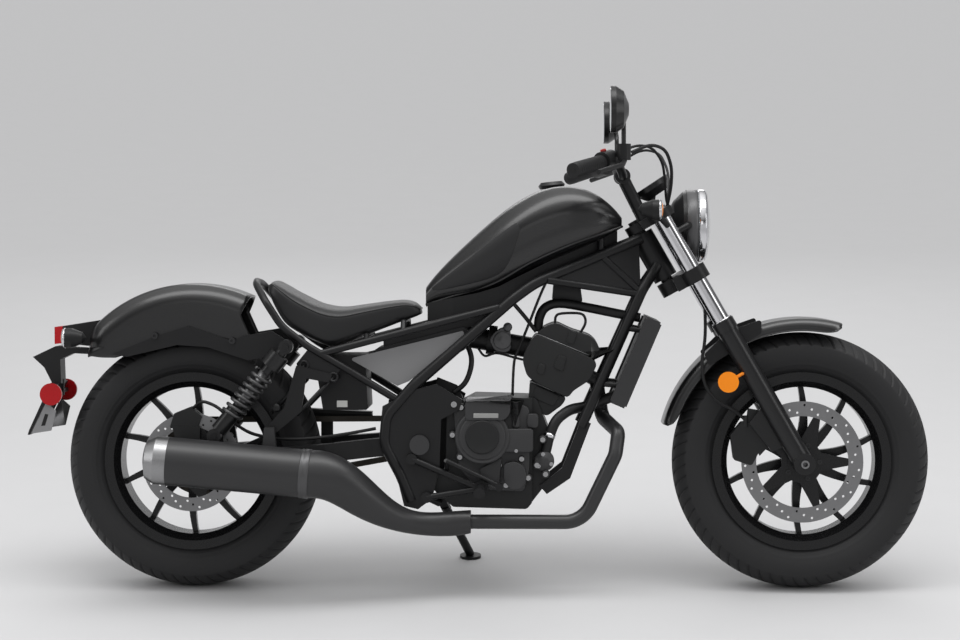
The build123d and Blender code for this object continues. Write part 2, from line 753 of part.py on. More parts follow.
def springs():
    low = 62 + REST_GAP
    high = shock_length() - 80 - REST_GAP
    step = (high - low) / COILS
    outline = [Line((14, low), (21, low))]
    for turn in range(COILS):
        a = low + turn * step
        outline.append(ThreePointArc((21, a), (27, a + step / 2), (21, a + step)))
    outline.append(Line((21, high), (14, high)))
    outline.append(Line((14, high), (14, low)))
    face = Plane.XZ * make_face(outline)
    run = Vector(*SHOCK_FOOT) - Vector(*SHOCK_TOP)
    return pair(Plane(origin=SHOCK_TOP, z_dir=run) * revolve(face, Axis.Z))


# ---------------------------------------------------------------- engine and its pipes
CASE = [(575, 262), (640, 205), (820, 200), (868, 262), (872, 392), (842, 470), (690, 474), (625, 440), (622, 300)]
CASE_HALF = 96
CASE_NOSE = 832
HANGER_IN = 76
HANGER_THICK = 12
CHAIN_BAY = 74
REAR_LUG = (645, 458)
REAR_LUG_RADIUS = 13
CYLINDER_FOOT = (850, 0, 440)
CYLINDER_LEAN = 21
CYLINDER_HALF = 62
CLUTCH_CENTRE = (712, 379)
HEAD_DEPTH = 140
PUMP = (862, 318)


def up_cylinder(ahead, side, up):
    tilt = radians(CYLINDER_LEAN)
    x = CYLINDER_FOOT[0] + up * sin(tilt) + ahead * cos(tilt)
    z = CYLINDER_FOOT[2] + up * cos(tilt) - ahead * sin(tilt)
    return (x, side, z)


def cylinder_plane(up):
    tilt = radians(CYLINDER_LEAN)
    return Plane(origin=up_cylinder(0, 0, up), x_dir=(cos(tilt), 0, -sin(tilt)), z_dir=(sin(tilt), 0, cos(tilt)))


@cache
def crankcase():
    case = plate(CASE, -CASE_HALF, CASE_HALF, 14)
    lug_end = PIVOT_PLATE_Y - REST_GAP
    x, z = REAR_LUG
    case = case + rod((x, -lug_end, z), (x, lug_end, z), REAR_LUG_RADIUS)
    for sign in (-1, 1):
        side = sign * (HANGER_IN - REST_GAP + 100)
        case = case - Pos(CASE_NOSE + 100, side, 320) * Box(200, 200, 400)
    x, _, z = DRIVE_CENTRE
    return case - rod((x, CHAIN_BAY, z), (x, CASE_HALF + 1, z), 56)


@cache
def barrel():
    return cylinder_plane(0) * extrude(RectangleRounded(118, 128, 20), 100) - crankcase()


@cache
def cylinder_head():
    lower = cylinder_plane(100.3) * extrude(RectangleRounded(HEAD_DEPTH, 150, 18), 66)
    cover = cylinder_plane(166.3) * extrude(RectangleRounded(120, 156, 24), 46)
    return lower + cover


def engine_covers():
    clutch = rod((CLUTCH_CENTRE[0], -CASE_HALF - REST_GAP, CLUTCH_CENTRE[1]), (CLUTCH_CENTRE[0], -150, CLUTCH_CENTRE[1]), 67)
    pad = rod((CLUTCH_CENTRE[0], -150, CLUTCH_CENTRE[1]), (CLUTCH_CENTRE[0], -160, CLUTCH_CENTRE[1]), 38)
    filter_cap = rod((795, -CASE_HALF - REST_GAP, 290), (795, -138, 290), 29)
    stator = rod((745, CASE_HALF + REST_GAP, 352), (745, 136, 352), 68)
    return [clutch + pad, filter_cap, stator, water_pump()]


@cache
def water_pump():
    x, z = PUMP
    return rod((x, -HANGER_IN - REST_GAP, z), (x, -112, z), 24)


def throttle_body():
    intake = rod(up_cylinder(-HEAD_DEPTH / 2 + 12, 0, 134), (660, 0, 618), 26)
    flange = rod((742, 0, 606), (722, 0, 609), 36)
    box = plate(AIR_BOX, -SIDE_COVER_IN + REST_GAP, SIDE_COVER_IN - REST_GAP, 12)
    studs = rod((600, -104, 552), (600, 104, 552), 8)
    return intake + flange + box + studs - cylinder_head() - main_frame()


RADIATOR_CENTRE = (1083, 558)
RADIATOR_TILT = 23
RADIATOR_THICK = 34
RADIATOR_WIDTH = 236
RADIATOR_TALL = 226


@cache
def radiator():
    tilt = radians(RADIATOR_TILT)
    x, z = RADIATOR_CENTRE
    flat = Plane(origin=(x, 0, z), x_dir=(cos(tilt), 0, -sin(tilt)), z_dir=(sin(tilt), 0, cos(tilt)))
    core = Box(RADIATOR_THICK, RADIATOR_WIDTH, RADIATOR_TALL)
    tanks = [Pos(0, side * (RADIATOR_WIDTH / 2 - 12), 0) * Box(RADIATOR_THICK + 8, 24, RADIATOR_TALL - 10) for side in (-1, 1)]
    return flat * (core + tanks)


HEADER_RADIUS = 17.5
HEADER_END = 684.3
HEADER_POINTS = [
    (990, 14, 508),
    (1004, 2, 418),
    (1042, -92, 388),
    (1034, -113, 335),
    (955, -120, 172),
    (HEADER_END, -120, 172),
]
HEADER_BENDS = [16, 34, 28, 40, 70]


def header_pipe():
    port = up_cylinder(HEAD_DEPTH / 2 + REST_GAP, 15, 120)
    return tube([port] + HEADER_POINTS, HEADER_RADIUS, HEADER_BENDS) - cylinder_head()


SILENCER_RADIUS = 58
SILENCER_REAR = (-39, -204, 325)
SILENCER_FRONT = (300, -204, 295)


def silencer():
    rear, front = Vector(*SILENCER_REAR), Vector(*SILENCER_FRONT)
    stations = [
        # centre, direction, radius
        (tuple(front), tuple(front - rear), SILENCER_RADIUS),
        ((400, -190, 256), (1, 0.2, -0.55), 51),
        ((476, -162, 200), (1, 0.3, -0.55), 37),
        ((545, -136, 172), (1, 0.15, 0), 29),
        ((HEADER_END - REST_GAP, -120, 172), (1, 0, 0), 28),
    ]
    body = rod(tuple(rear), tuple(front), SILENCER_RADIUS)
    bend = loft([Plane(origin=centre, z_dir=way) * Circle(size) for centre, way, size in stations])
    lug = plate([(178, 318), (218, 318), (210, 402), (186, 402)], -156, HANGER_Y - 4 - REST_GAP)
    return body + bend + lug


def end_cap():
    rear, front = Vector(*SILENCER_REAR), Vector(*SILENCER_FRONT)
    outline = [
        (0, REST_GAP),
        (SILENCER_RADIUS, REST_GAP),
        (SILENCER_RADIUS, 30),
        (SILENCER_RADIUS - 12, 52),
        (26, 52),
        (26, 20),
        (0, 20),
    ]
    return turned(outline, tuple(rear), tuple(rear - front))


# ---------------------------------------------------------------- tank, seat and covers
TANK_STATIONS = [
    # x, half width, top, bottom
    (572, 52, 738, 690),
    (640, 84, 815, 704),
    (740, 118, 906, 728),
    (830, 132, 966, 778),
    (930, 128, 984, 826),
    (1010, 98, 950, 862),
    (1050, 62, 908, 884),
]


@cache
def tank():
    sections = []
    for x, half, top, bottom in TANK_STATIONS:
        tall = top - bottom
        corner = min(tall, 2 * half) * 0.42
        face = RectangleRounded(2 * half, tall, corner)
        sections.append(Plane(origin=(x, 0, (top + bottom) / 2), x_dir=(0, 1, 0), z_dir=(1, 0, 0)) * face)
    return loft(sections)


def fuel_cap():
    return turned([(0, 0), (30, 0), (33, 8), (26, 16), (0, 17)], (880, 0, 981), (-0.1, 0, 1)) - tank()


SEAT_SIDE = [(196, 738), (206, 752), (290, 712), (340, 692), (400, 694), (520, 708), (558, 690), (566, 680), (350, 600), (332, 600), (244, 646)]


def seat():
    side = plate(SEAT_SIDE, -112, 112)
    plan = Polygon((180, -100), (320, -112), (430, -104), (570, -58), (570, 58), (430, 104), (320, 112), (180, 100), align=None)
    return side & extrude(Pos(0, 0, 500) * plan, 400, dir=(0, 0, 1))


AIR_BOX = [(430, 584), (676, 646), (672, 590), (560, 528), (520, 520)]
SIDE_COVER_IN = 92
SIDE_COVER = [(388, 566), (664, 634), (668, 626), (534, 512), (505, 500)]


def side_covers():
    return pair(plate(SIDE_COVER, SIDE_COVER_IN, SIDE_COVER_IN + 10, 4))


def under_seat_box():
    low = BOX_HANGER[1] - HOOP_RADIUS - REST_GAP
    return plate([(300, low), (425, low), (432, 440), (322, 440)], -84, 84, 6)


# ---------------------------------------------------------------- rear end
FENDER_HALF = 92
FENDER_OUTLINE = [(141, 716), (70, 738), (2, 747), (-70, 740), (-142, 714), (-200, 676), (-236, 624), (-251, 568), (-184, 567), (-155, 576), (-32, 599), (41, 594), (160, 590)]


def rear_fender():
    outer = plate(FENDER_OUTLINE, -FENDER_HALF, FENDER_HALF)
    inner_outline = [
        (141, 712), (70, 734), (2, 743), (-70, 736), (-140, 710), (-197, 673), (-232, 622), (-247, 560),
        (-184, 560), (-155, 560), (-32, 590), (41, 585), (170, 580),
    ]
    inner = plate(inner_outline, -FENDER_HALF + 4, FENDER_HALF - 4)
    return outer - inner


FENDER_STRUT = [(-192, 576), (-86, 620), (-6, 645), (102, 609), (131, 622), (199, 633), (252, 600), (240, 580), (140, 562), (41, 594), (-32, 599), (-155, 570)]


def fender_struts():
    strut = plate(FENDER_STRUT, FENDER_HALF + REST_GAP, FENDER_HALF + 10)
    x, _, z = SHOCK_TOP
    stud = rod((x, FENDER_HALF + 5, z), (x, SHOCK_Y + 20, z), 8)
    return pair(strut + stud)


@cache
def fender_mass():
    return plate(FENDER_OUTLINE, -FENDER_HALF - 1, FENDER_HALF + 1)


def tail_lamp():
    return plate([(-325, 600), (-325, 642), (-200, 662), (-230, 590)], -32, 32) - fender_mass()


def tail_lens():
    return plate([(-345, 598), (-345, 640), (-325.3, 642), (-325.3, 600)], -34, 34)


def rear_signals():
    bullet = signal((-305, 130, 617), -1)
    stem = rod((-280, 30, 612), (-280, 110, 617), 8) - tail_lamp()
    return pair(bullet + stem)


def plate_bracket():
    arm = plate([(-226, 586), (-262, 586), (-345, 592), (-400, 566), (-372, 540), (-352, 500), (-330, 500), (-332, 560), (-300, 575), (-236, 572)], -30, 30)
    holder = plate([(-345, 505), (-398, 390), (-402, 378), (-396, 378), (-336, 500)], -88, 88)
    stems = rod((-342, -92, 478), (-342, 92, 478), 6)
    return arm - fender_mass() + holder + stems + rod((-342, 0, 470), (-342, 0, 510), 14)


def rear_reflectors():
    return pair(rod((-342, 92.3, 478), (-342, 100, 478), 27))


HANGER_Y = -131


def silencer_hanger():
    shape = [(262, 552), (350, 530), (340, 510), (285, 520), (275, 440), (210, 386), (186, 386), (190, 402), (232, 448)]
    hanger = plate(shape, HANGER_Y - 4, HANGER_Y + 4, 4)
    return hanger


def rear_caliper():
    y = REAR_DISC["y"]
    body = plate([(-52, 395), (-40, 432), (0, 448), (28, 425), (16, 395)], y - 12, y + 24, 5)
    carrier = plate([(-20, 296), (20, 296), (24, 400), (-44, 400)], y - 16, y - 10)
    body = body + carrier - rod((0, -200, REAR_TYRE_RADIUS), (0, 0, REAR_TYRE_RADIUS), AXLE_RADIUS + 6 + REST_GAP)
    slot = across(
        [(0, y - 5), (REAR_DISC["outer"] + MOVING_GAP, y - 5), (REAR_DISC["outer"] + MOVING_GAP, y + 5), (0, y + 5)],
        REAR_AXLE[:1] + (0,) + REAR_AXLE[2:],
    )
    return body - slot


PEG = (708, 254)
PEG_RADIUS = 13
PEG_END = 250
FOOT_BOLTS = [(541, 325), (577, 232)]
FOOT_Y = 134


def foot_controls():
    seat_y = PIVOT_PLATE_Y + PIVOT_PLATE_THICK + REST_GAP
    bracket = rod((PEG[0], FOOT_Y - 10, PEG[1]), (PEG[0], FOOT_Y + 12, PEG[1]), 18)
    for x, z in FOOT_BOLTS:
        bracket = bracket + rod((x, seat_y, z), (x, FOOT_Y + 7, z), 13)
        bracket = bracket + rod((x, FOOT_Y, z), (PEG[0], FOOT_Y, PEG[1]), 8)
    bracket = bracket + rod((PEG[0], FOOT_Y, PEG[1]), (PEG[0], PEG_END, PEG[1]), PEG_RADIUS)
    pedal = rod((626, 152, 323), (754, 152, 262), 6) + rod((626, 152, 323), (626, 128, 300), 6)
    pad = rod((754, 146, 262), (754, 186, 262), 9)
    lever = rod((680, 152, 262), (796, 152, 262), 6) + rod((796, 146, 262), (796, 192, 262), 9)
    right = mirror(bracket + pedal + pad, Plane.XZ)
    return [right, bracket + lever]


# ---------------------------------------------------------------- side stand
STAND_PIVOT = (600, 152, 200)
STAND_FOOT = (672, 250)
STAND_FOLDED = (-1, 0.07, 0.1)
STAND_TRAVEL = 105
STAND_ROOT = (566, 118, 205)
STAND_RADIUS = 11
STAND_EYE = 12
STAND_PIN_RADIUS = 6


def ground_lift():
    """How far the rear tyre's round tread dips below its upright contact line as it leans."""
    half = REAR_TYRE_WIDTH / 2 - TREAD_EDGE
    crown = (half**2 + TREAD_DROP**2) / (2 * TREAD_DROP)
    return crown * (1 - cos(radians(LEAN)))


def stand_geometry():
    x, y = STAND_FOOT
    z = (y * sin(radians(LEAN)) - ground_lift()) / cos(radians(LEAN))
    up = Vector(0, -sin(radians(LEAN)), cos(radians(LEAN)))
    foot = Vector(x, y, z)
    down = (foot + up * 10 - Vector(*STAND_PIVOT)).normalized()
    axis = down.cross(Vector(*STAND_FOLDED)).normalized()
    return foot, up, down, axis


def side_stand():
    foot, up, down, axis = stand_geometry()
    pivot = Vector(*STAND_PIVOT)
    half = STAND_EYE / 2
    leg = rod(tuple(pivot + down * 30), tuple(foot + up * 8), STAND_RADIUS)
    eye = rod(tuple(pivot - axis * half), tuple(pivot + axis * half), 18)
    tang = Plane(origin=pivot + down * 20, x_dir=axis, z_dir=down) * Box(STAND_EYE, 22, 40)
    pad = rod(tuple(foot), tuple(foot + up * 7), 27)
    stand = leg + eye + tang + pad
    return stand - rod(tuple(pivot - axis * 20), tuple(pivot + axis * 20), STAND_PIN_RADIUS + RUNNING_GAP)


def stand_bracket():
    foot, up, down, axis = stand_geometry()
    pivot = Vector(*STAND_PIVOT)
    folded = Vector(*STAND_FOLDED).normalized()
    back = (down + folded).normalized() * -1
    near = STAND_EYE / 2 + 0.5
    far = near + 7
    ears = []
    for low, high in ((-far, -near), (near, far)):
        ears.append(rod(tuple(pivot + axis * low), tuple(pivot + axis * high), 15))
        middle = pivot + axis * ((low + high) / 2) + back * 14
        ears.append(Plane(origin=middle, x_dir=axis, z_dir=back) * Box(high - low, 26, 28))
    web = Plane(origin=pivot + back * 24, x_dir=axis, z_dir=back) * Box(2 * far, 26, 9)
    pin = rod(tuple(pivot - axis * (far + 3)), tuple(pivot + axis * (far + 3)), STAND_PIN_RADIUS)
    root = rod(tuple(pivot - axis * (far + 7)), STAND_ROOT, 9)
    return ears[0] + ears[1] + ears[2] + ears[3] + web + pin + root


# ---------------------------------------------------------------- front sprocket and chain guard
OUTPUT_SHAFT_RADIUS = 12


def front_sprocket():
    x, _, z = DRIVE_CENTRE
    teeth = Plane(origin=(x, CHAIN_Y, z), x_dir=(1, 0, 0), z_dir=(0, 1, 0)) * sprocket(FRONT_TEETH, OUTPUT_SHAFT_RADIUS - 1)
    return teeth + rod((x, CHAIN_BAY + REST_GAP, z), (x, CHAIN_Y + 12, z), OUTPUT_SHAFT_RADIUS)


def chain_guard():
    top = [(64, 424), (140, 438), (430, 424), (430, 416), (140, 428), (70, 414)]
    lip = plate(top, 80, 112, 0)
    side = plate([(64, 424), (140, 438), (430, 424), (430, 402), (140, 410), (70, 398)], 109, 112, 0)
    foot = plate([(300, 350), (330, 350), (330, 428), (300, 428)], 106, 112, 0)
    return lip + side + foot - swingarm()


# ---------------------------------------------------------------- hoses and cables
def turns_along(points, limit):
    """Bend radii of 0.45 of the shorter run at each corner, over the tangent of half its turn."""
    radii = []
    for a, b, c in zip(points, points[1:], points[2:]):
        before = Vector(*b) - Vector(*a)
        after = Vector(*c) - Vector(*b)
        half_turn = radians(before.get_angle(after) / 2)
        radii.append(min(0.45 * min(before.length, after.length) / tan(half_turn), limit))
    return radii


def hose(points, radius, limit=400):
    radii = turns_along(points, limit)
    print("hose of radius", radius, "bends", [round(r) for r in radii])
    return tube(points, radius, radii)


HOSE_RADIUS = 4
CABLE_RADIUS = 3.2
COOLANT_RADIUS = 13

FRONT_BRAKE_HOSE = [
    (1068, -224, 1062),
    (1112, -206, 1082),
    (1150, -170, 1072),
    (1168, -128, 1030),
    (1168, -90, 980),
    (1158, -66, 930),
    (1162, -59, 884),
    (1182, -57, 838),
    (1226, -57, 796),
    (1247, -66, 742),
    (1252, -80, 680),
    (1252, -90, 616),
    (1242, -94, 556),
    (1250, -96, 500),
    (1282, -94, 462),
    (1322, -88, 442),
    (1352, -78, 416),
]
THROTTLE_CABLES = [
    (1034, -244, 1058),
    (1078, -216, 1080),
    (1118, -176, 1076),
    (1146, -128, 1042),
    (1154, -84, 992),
    (1158, -56, 946),
    (1176, -36, 908),
]
CLUTCH_CABLE = [
    (1066, 226, 1060),
    (1110, 204, 1084),
    (1152, 162, 1074),
    (1172, 112, 1026),
    (1170, 72, 968),
    (1166, 48, 920),
    (1184, 34, 888),
]
REAR_BRAKE_HOSE = [
    (2, -86, 441),
    (26, -98, 464),
    (68, -110, 450),
    (104, -113, 412),
    (148, -115, 384),
    (204, -117, 373),
    (266, -118, 371),
    (328, -118, 376),
    (390, -106, 385),
    (452, -96, 396),
]
COOLANT_HOSE = [
    (864, -98, 336),
    (874, -96, 380),
    (890, -88, 418),
    (925, -66, 442),
    (962, -46, 446),
    (1005, -44, 462),
    (1050, -44, 480),
]


def front_brake_hose():
    return hose(FRONT_BRAKE_HOSE, HOSE_RADIUS) - front_caliper()


def control_cables():
    return [hose(route, CABLE_RADIUS) - headlamp_shell() for route in (THROTTLE_CABLES, CLUTCH_CABLE)]


def rear_brake_hose():
    return hose(REAR_BRAKE_HOSE, HOSE_RADIUS) - rear_caliper()


def coolant_hose():
    return hose(COOLANT_HOSE, COOLANT_RADIUS) - radiator() - water_pump()


# ---------------------------------------------------------------- placing and writing
def lean_over(shape):
    return Rot(-LEAN, 0, 0) * shape


NODES = {
    "front_tyre": lambda: tyre(FRONT_AXLE, FRONT_TYRE_RADIUS, FRONT_TYRE_WIDTH, SEAT_HALF_WIDTH["front"]),
    "front_rim": lambda: cast_wheel(FRONT_AXLE, SEAT_HALF_WIDTH["front"], FRONT_HUB_RADIUS, FRONT_HUB_HALF),
    "front_disc": lambda: brake_disc(FRONT_AXLE, FRONT_HUB_RADIUS, FRONT_DISC),
    "rear_tyre": lambda: tyre(REAR_AXLE, REAR_TYRE_RADIUS, REAR_TYRE_WIDTH, SEAT_HALF_WIDTH["rear"]),
    "rear_rim": lambda: cast_wheel(REAR_AXLE, SEAT_HALF_WIDTH["rear"], REAR_HUB_RADIUS, REAR_HUB_HALF),
    "rear_disc": lambda: brake_disc(REAR_AXLE, REAR_HUB_RADIUS, REAR_DISC),
    "rear_sprocket": rear_sprocket,
    "chain": chain,
    "front_sprocket": front_sprocket,
    "chain_guard": chain_guard,
    "front_axle": front_axle,
    "fork_tubes": fork_tubes,
    "fork_sliders": sliders,
    "triple_clamps": triple_clamps,
    "handlebar": handlebar,
    "grips": grips,
    "hand_controls": hand_controls,
    "mirrors": mirrors,
    "headlamp_shell": headlamp_shell,
    "headlamp_lens": headlamp_lens,
    "instrument": instrument,
    "front_signals": front_signals,
    "front_fender": front_fender,
    "front_fender_stays": front_fender_stays,
    "front_caliper": front_caliper,
    "front_reflectors": front_reflectors,
    "front_brake_hose": front_brake_hose,
    "control_cables": control_cables,
    "main_frame": main_frame,
    "subframe": subframe,
    "frame_covers": frame_covers,
    "swingarm": swingarm,
    "rear_axle": rear_axle,
    "shocks": shocks,
    "shock_springs": springs,
    "crankcase": crankcase,
    "cylinder": lambda: [barrel(), cylinder_head()],
    "engine_covers": engine_covers,
    "throttle_body": throttle_body,
    "radiator": radiator,
    "header_pipe": header_pipe,
    "silencer": silencer,
    "silencer_cap": end_cap,
    "fuel_tank": tank,
    "fuel_cap": fuel_cap,
    "seat": seat,
    "side_covers": side_covers,
    "under_seat_box": under_seat_box,
    "rear_fender": rear_fender,
    "fender_struts": fender_struts,
    "red_lenses": lambda: [tail_lens()] + rear_reflectors(),
    "rear_signals": rear_signals,
    "tail_bracket": lambda: [tail_lamp(), plate_bracket()],
    "silencer_hanger": silencer_hanger,
    "rear_caliper": rear_caliper,
    "rear_brake_hose": rear_brake_hose,
    "coolant_hose": coolant_hose,
    "foot_controls": foot_controls,
    "side_stand": side_stand,
}

os.makedirs("parts", exist_ok=True)
made = {}
for name, make in NODES.items():
    solids = make()
    made[name] = solids if isinstance(solids, list) else [solids]

leaned = {name: [lean_over(solid) for solid in solids] for name, solids in made.items()}
box = Compound([solid for solids in leaned.values() for solid in solids]).bounding_box()
SHIFT = (-(box.min.X + box.max.X) / 2, -(box.min.Y + box.max.Y) / 2, ground_lift())
print("shift", SHIFT, "box", box.size, "low", box.min.Z)
for name, solids in leaned.items():
    whole = Compound([Pos(*SHIFT) * solid for solid in solids])
    export_step(whole, f"parts/{name}.step")
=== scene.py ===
import json
import math

import bmesh
import bpy
from mathutils import Matrix, Vector
from mathutils.bvhtree import BVHTree


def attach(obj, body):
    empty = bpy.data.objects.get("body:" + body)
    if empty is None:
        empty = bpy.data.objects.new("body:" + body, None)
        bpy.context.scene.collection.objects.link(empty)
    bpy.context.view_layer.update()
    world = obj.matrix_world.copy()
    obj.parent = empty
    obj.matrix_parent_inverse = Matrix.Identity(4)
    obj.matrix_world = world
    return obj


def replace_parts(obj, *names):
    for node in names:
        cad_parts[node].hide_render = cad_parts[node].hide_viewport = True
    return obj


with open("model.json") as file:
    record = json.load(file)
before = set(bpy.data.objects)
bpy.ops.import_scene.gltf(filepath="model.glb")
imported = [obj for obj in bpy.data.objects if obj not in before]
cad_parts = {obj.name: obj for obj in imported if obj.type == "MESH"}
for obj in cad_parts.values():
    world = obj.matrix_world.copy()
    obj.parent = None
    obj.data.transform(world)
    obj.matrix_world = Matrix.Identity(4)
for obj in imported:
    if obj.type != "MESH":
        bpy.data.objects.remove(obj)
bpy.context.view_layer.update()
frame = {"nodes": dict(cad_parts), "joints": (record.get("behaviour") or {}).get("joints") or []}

# ---- Camera, and how the machine stands ----
# Pieces are drawn upright in millimetres: X forward from the rear axle, Y to the rider's left, Z up.
# STANDING leans them onto the side stand, in the frame's metres. The camera looks square at the right side.
hinges = {joint["name"]: joint for joint in frame["joints"]}
axle_line = hinges["rear_wheel_spin"]["axis"]
LEAN = math.atan2(-axle_line[2], axle_line[1])
REAR_AXLE = Vector((0, 0, 312))
FRONT_AXLE = Vector((1490, 0, 314))
STANDING = (
    Matrix.Translation(hinges["rear_wheel_spin"]["pos_m"])
    @ Matrix.Rotation(-LEAN, 4, "X")
    @ Matrix.Scale(0.001, 4)
    @ Matrix.Translation(-REAR_AXLE)
)
DISTANCE = 6000
VIEW_WIDTH = 2368
AIM = Vector((703, 0, 657))
AHEAD = math.radians(1.5)
ABOVE = math.radians(2.0)
back = Vector((math.sin(AHEAD) * math.cos(ABOVE), -math.cos(AHEAD) * math.cos(ABOVE), math.sin(ABOVE)))
lens = bpy.data.cameras.new("camera")
lens.lens = lens.sensor_width * DISTANCE / VIEW_WIDTH
camera = bpy.data.objects.new("camera", lens)
turn = STANDING.to_3x3().normalized()
right = (turn @ Vector((0, 0, 1))).cross(turn @ back).normalized()
view_axes = Matrix((right, (turn @ back).cross(right), turn @ back)).transposed().to_4x4()
camera.matrix_world = Matrix.Translation(STANDING @ (AIM + back * DISTANCE)) @ view_axes
bpy.context.scene.collection.objects.link(camera)
bpy.context.scene.camera = camera


# ---- Main frame, swingarm, stand and brackets ----
# Mild steel tube and plate, welded and powder coated satin black.
# The coat is baked on: it is even, a little pebbled, and hides the grinding under it.
def light(hex_colour):
    """Reads an sRGB hex colour as linear light."""
    parts = [int(hex_colour[i : i + 2], 16) / 255 for i in (1, 3, 5)]
    return [c / 12.92 if c <= 0.04045 else ((c + 0.055) / 1.055) ** 2.4 for c in parts] + [1]


def add(tree, kind, links=(), **settings):
    """Adds a node with its settings and its incoming links; sockets go by name or by number."""
    node = tree.nodes.new(kind)
    for key, value in settings.items():
        if hasattr(node, key):
            setattr(node, key, value)
        else:
            wanted = key.replace("_", " ")
            next(s for s in node.inputs if s.name == wanted and s.enabled).default_value = value
    for key, source in links:
        if isinstance(key, str):
            key = next(i for i, s in enumerate(node.inputs) if s.name == key and s.enabled)
        tree.links.new(source, node.inputs[key])
    return node


CLOUD_SCALE = 7.0  # noise cells of about 70 mm, for the slow drift of the colour
CELL_MM = 500  # a noise cell is half a unit wide at scale 1, so this over a grain gives its scale
GRAIN_TO_RELIEF = 5000  # a grain stands a fifth of its width high: millimetres to metres, times five


def surface(name, colour, worn, roughness, grain_mm, grain, metallic=0.0, uneven=0.07, **shader):
    """A skin whose colour drifts towards worn, whose gloss is uneven and whose grain has a real size."""
    material = bpy.data.materials.new(name)
    material.use_nodes = True
    tree = material.node_tree
    tree.nodes.clear()
    place = add(tree, "ShaderNodeTexCoord").outputs["Object"]
    cloud = add(tree, "ShaderNodeTexNoise", [("Vector", place)], Scale=CLOUD_SCALE, Detail=4.0)
    fine = add(tree, "ShaderNodeTexNoise", [("Vector", place)], Scale=CELL_MM / grain_mm, Detail=2.0)
    tone = add(tree, "ShaderNodeMix", [(0, cloud.outputs[0])], data_type="RGBA")
    tone.inputs[6].default_value = light(colour)
    tone.inputs[7].default_value = light(worn)
    gloss = add(tree, "ShaderNodeMapRange", [("Value", fine.outputs[0])])
    gloss.inputs["To Min"].default_value = max(roughness - uneven, 0.02)
    gloss.inputs["To Max"].default_value = min(roughness + uneven, 1.0)
    relief = grain_mm / GRAIN_TO_RELIEF
    bump = add(tree, "ShaderNodeBump", [("Height", fine.outputs[0])], Strength=grain, Distance=relief)
    looks = [("Base Color", tone.outputs[2]), ("Roughness", gloss.outputs[0]), ("Normal", bump.outputs[0])]
    shade = add(tree, "ShaderNodeBsdfPrincipled", looks, Metallic=metallic, **shader)
    add(tree, "ShaderNodeOutputMaterial", [("Surface", shade.outputs[0])])
    return material


def dress(material, *names):
    """Gives CAD nodes their finish; their meshes stay as they are."""
    for name in names:
        node = frame["nodes"][name]
        node.data.materials.clear()
        node.data.materials.append(material)


# Baked powder coat: black with one soft long highlight on each tube.
powder_coat = surface("satin_powder_coat", "#121213", "#161617", 0.38, 1.2, 0.12, Specular_IOR_Level=0.3)
dress(powder_coat, "main_frame", "subframe", "swingarm", "triple_clamps", "handlebar", "silencer_hanger")
dress(powder_coat, "side_stand", "foot_controls", "front_fender_stays", "fender_struts")
# Black zinc on turned steel: a dull dark grey with a metal's edge lights.
dull_zinc = surface("dull_black_zinc", "#3a3a3b", "#444445", 0.42, 0.8, 0.1, metallic=0.7)
dress(dull_zinc, "rear_axle")


# ---- Tyres ----
# Road tyres in carbon-black rubber, moulded with slanted shoulder sipes and two grooves by the centre.
# The sidewall is smooth, a little paler than the tread, with fine raised rings near the bead.
def as_mesh(name, shape):
    """Turns a bmesh, or a list of them, into one mesh whose faces point outwards."""
    if isinstance(shape, list):
        parts = [as_mesh(name, part) for part in shape]
        shape = bmesh.new()
        for part in parts:
            shape.from_mesh(part)
            bpy.data.meshes.remove(part)
    bmesh.ops.recalc_face_normals(shape, faces=shape.faces)
    mesh = bpy.data.meshes.new(name)
    shape.to_mesh(mesh)
    shape.free()
    return mesh


def stand_up(name, made, body, material, smooth=True):
    """Leans what is drawn upright in millimetres into place, dresses it and lets it ride on a body."""
    mesh = made if isinstance(made, bpy.types.Mesh) else as_mesh(name, made)
    mesh.transform(STANDING)
    mesh.materials.clear()
    mesh.materials.append(material)
    if smooth:
        mesh.shade_smooth()
    piece = bpy.data.objects.new(name, mesh)
    bpy.context.scene.collection.objects.link(piece)
    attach(piece, body)
    return piece


def arc(a, b, c, count):
    """Points from a to c on the circle through a, b and c."""
    (ax, ay), (bx, by), (cx, cy) = a, b, c
    d = 2 * (ax * (by - cy) + bx * (cy - ay) + cx * (ay - by))
    aa, bb, cc = ax**2 + ay**2, bx**2 + by**2, cx**2 + cy**2
    ux = (aa * (by - cy) + bb * (cy - ay) + cc * (ay - by)) / d
    uy = (aa * (cx - bx) + bb * (ax - cx) + cc * (bx - ax)) / d
    start = math.atan2(ay - uy, ax - ux)
    sweep = (math.atan2(cy - uy, cx - ux) - start + math.pi) % (2 * math.pi) - math.pi
    radius = math.hypot(ax - ux, ay - uy)
    turns = [start + sweep * i / count for i in range(count + 1)]
    return [(ux + radius * math.cos(t), uy + radius * math.sin(t)) for t in turns]


def around(centre, radius, t, y):
    """A point at an angle round a wheel's axle."""
    return (centre.x + radius * math.cos(t), y, centre.z + radius * math.sin(t))


SIPES = 64
AROUND = 896
TREAD_DEPTH = 5.0
BEAD_GAP = 0.3
RIM_SEAT, FLANGE_TOP = 203.4, 220.5
SHOULDER_DROP, TREAD_EDGE = 29, 3
RING_LOW, RING_HIGH, RING_PITCH, RING_PROUD = 226, 246, 5, 0.7
# Moulded rubber: a flat, dark grey-black with no sharp highlight.
tyre_rubber = surface("tyre_rubber", "#1d1d1e", "#222223", 0.6, 1.5, 0.15, Specular_IOR_Level=0.3)


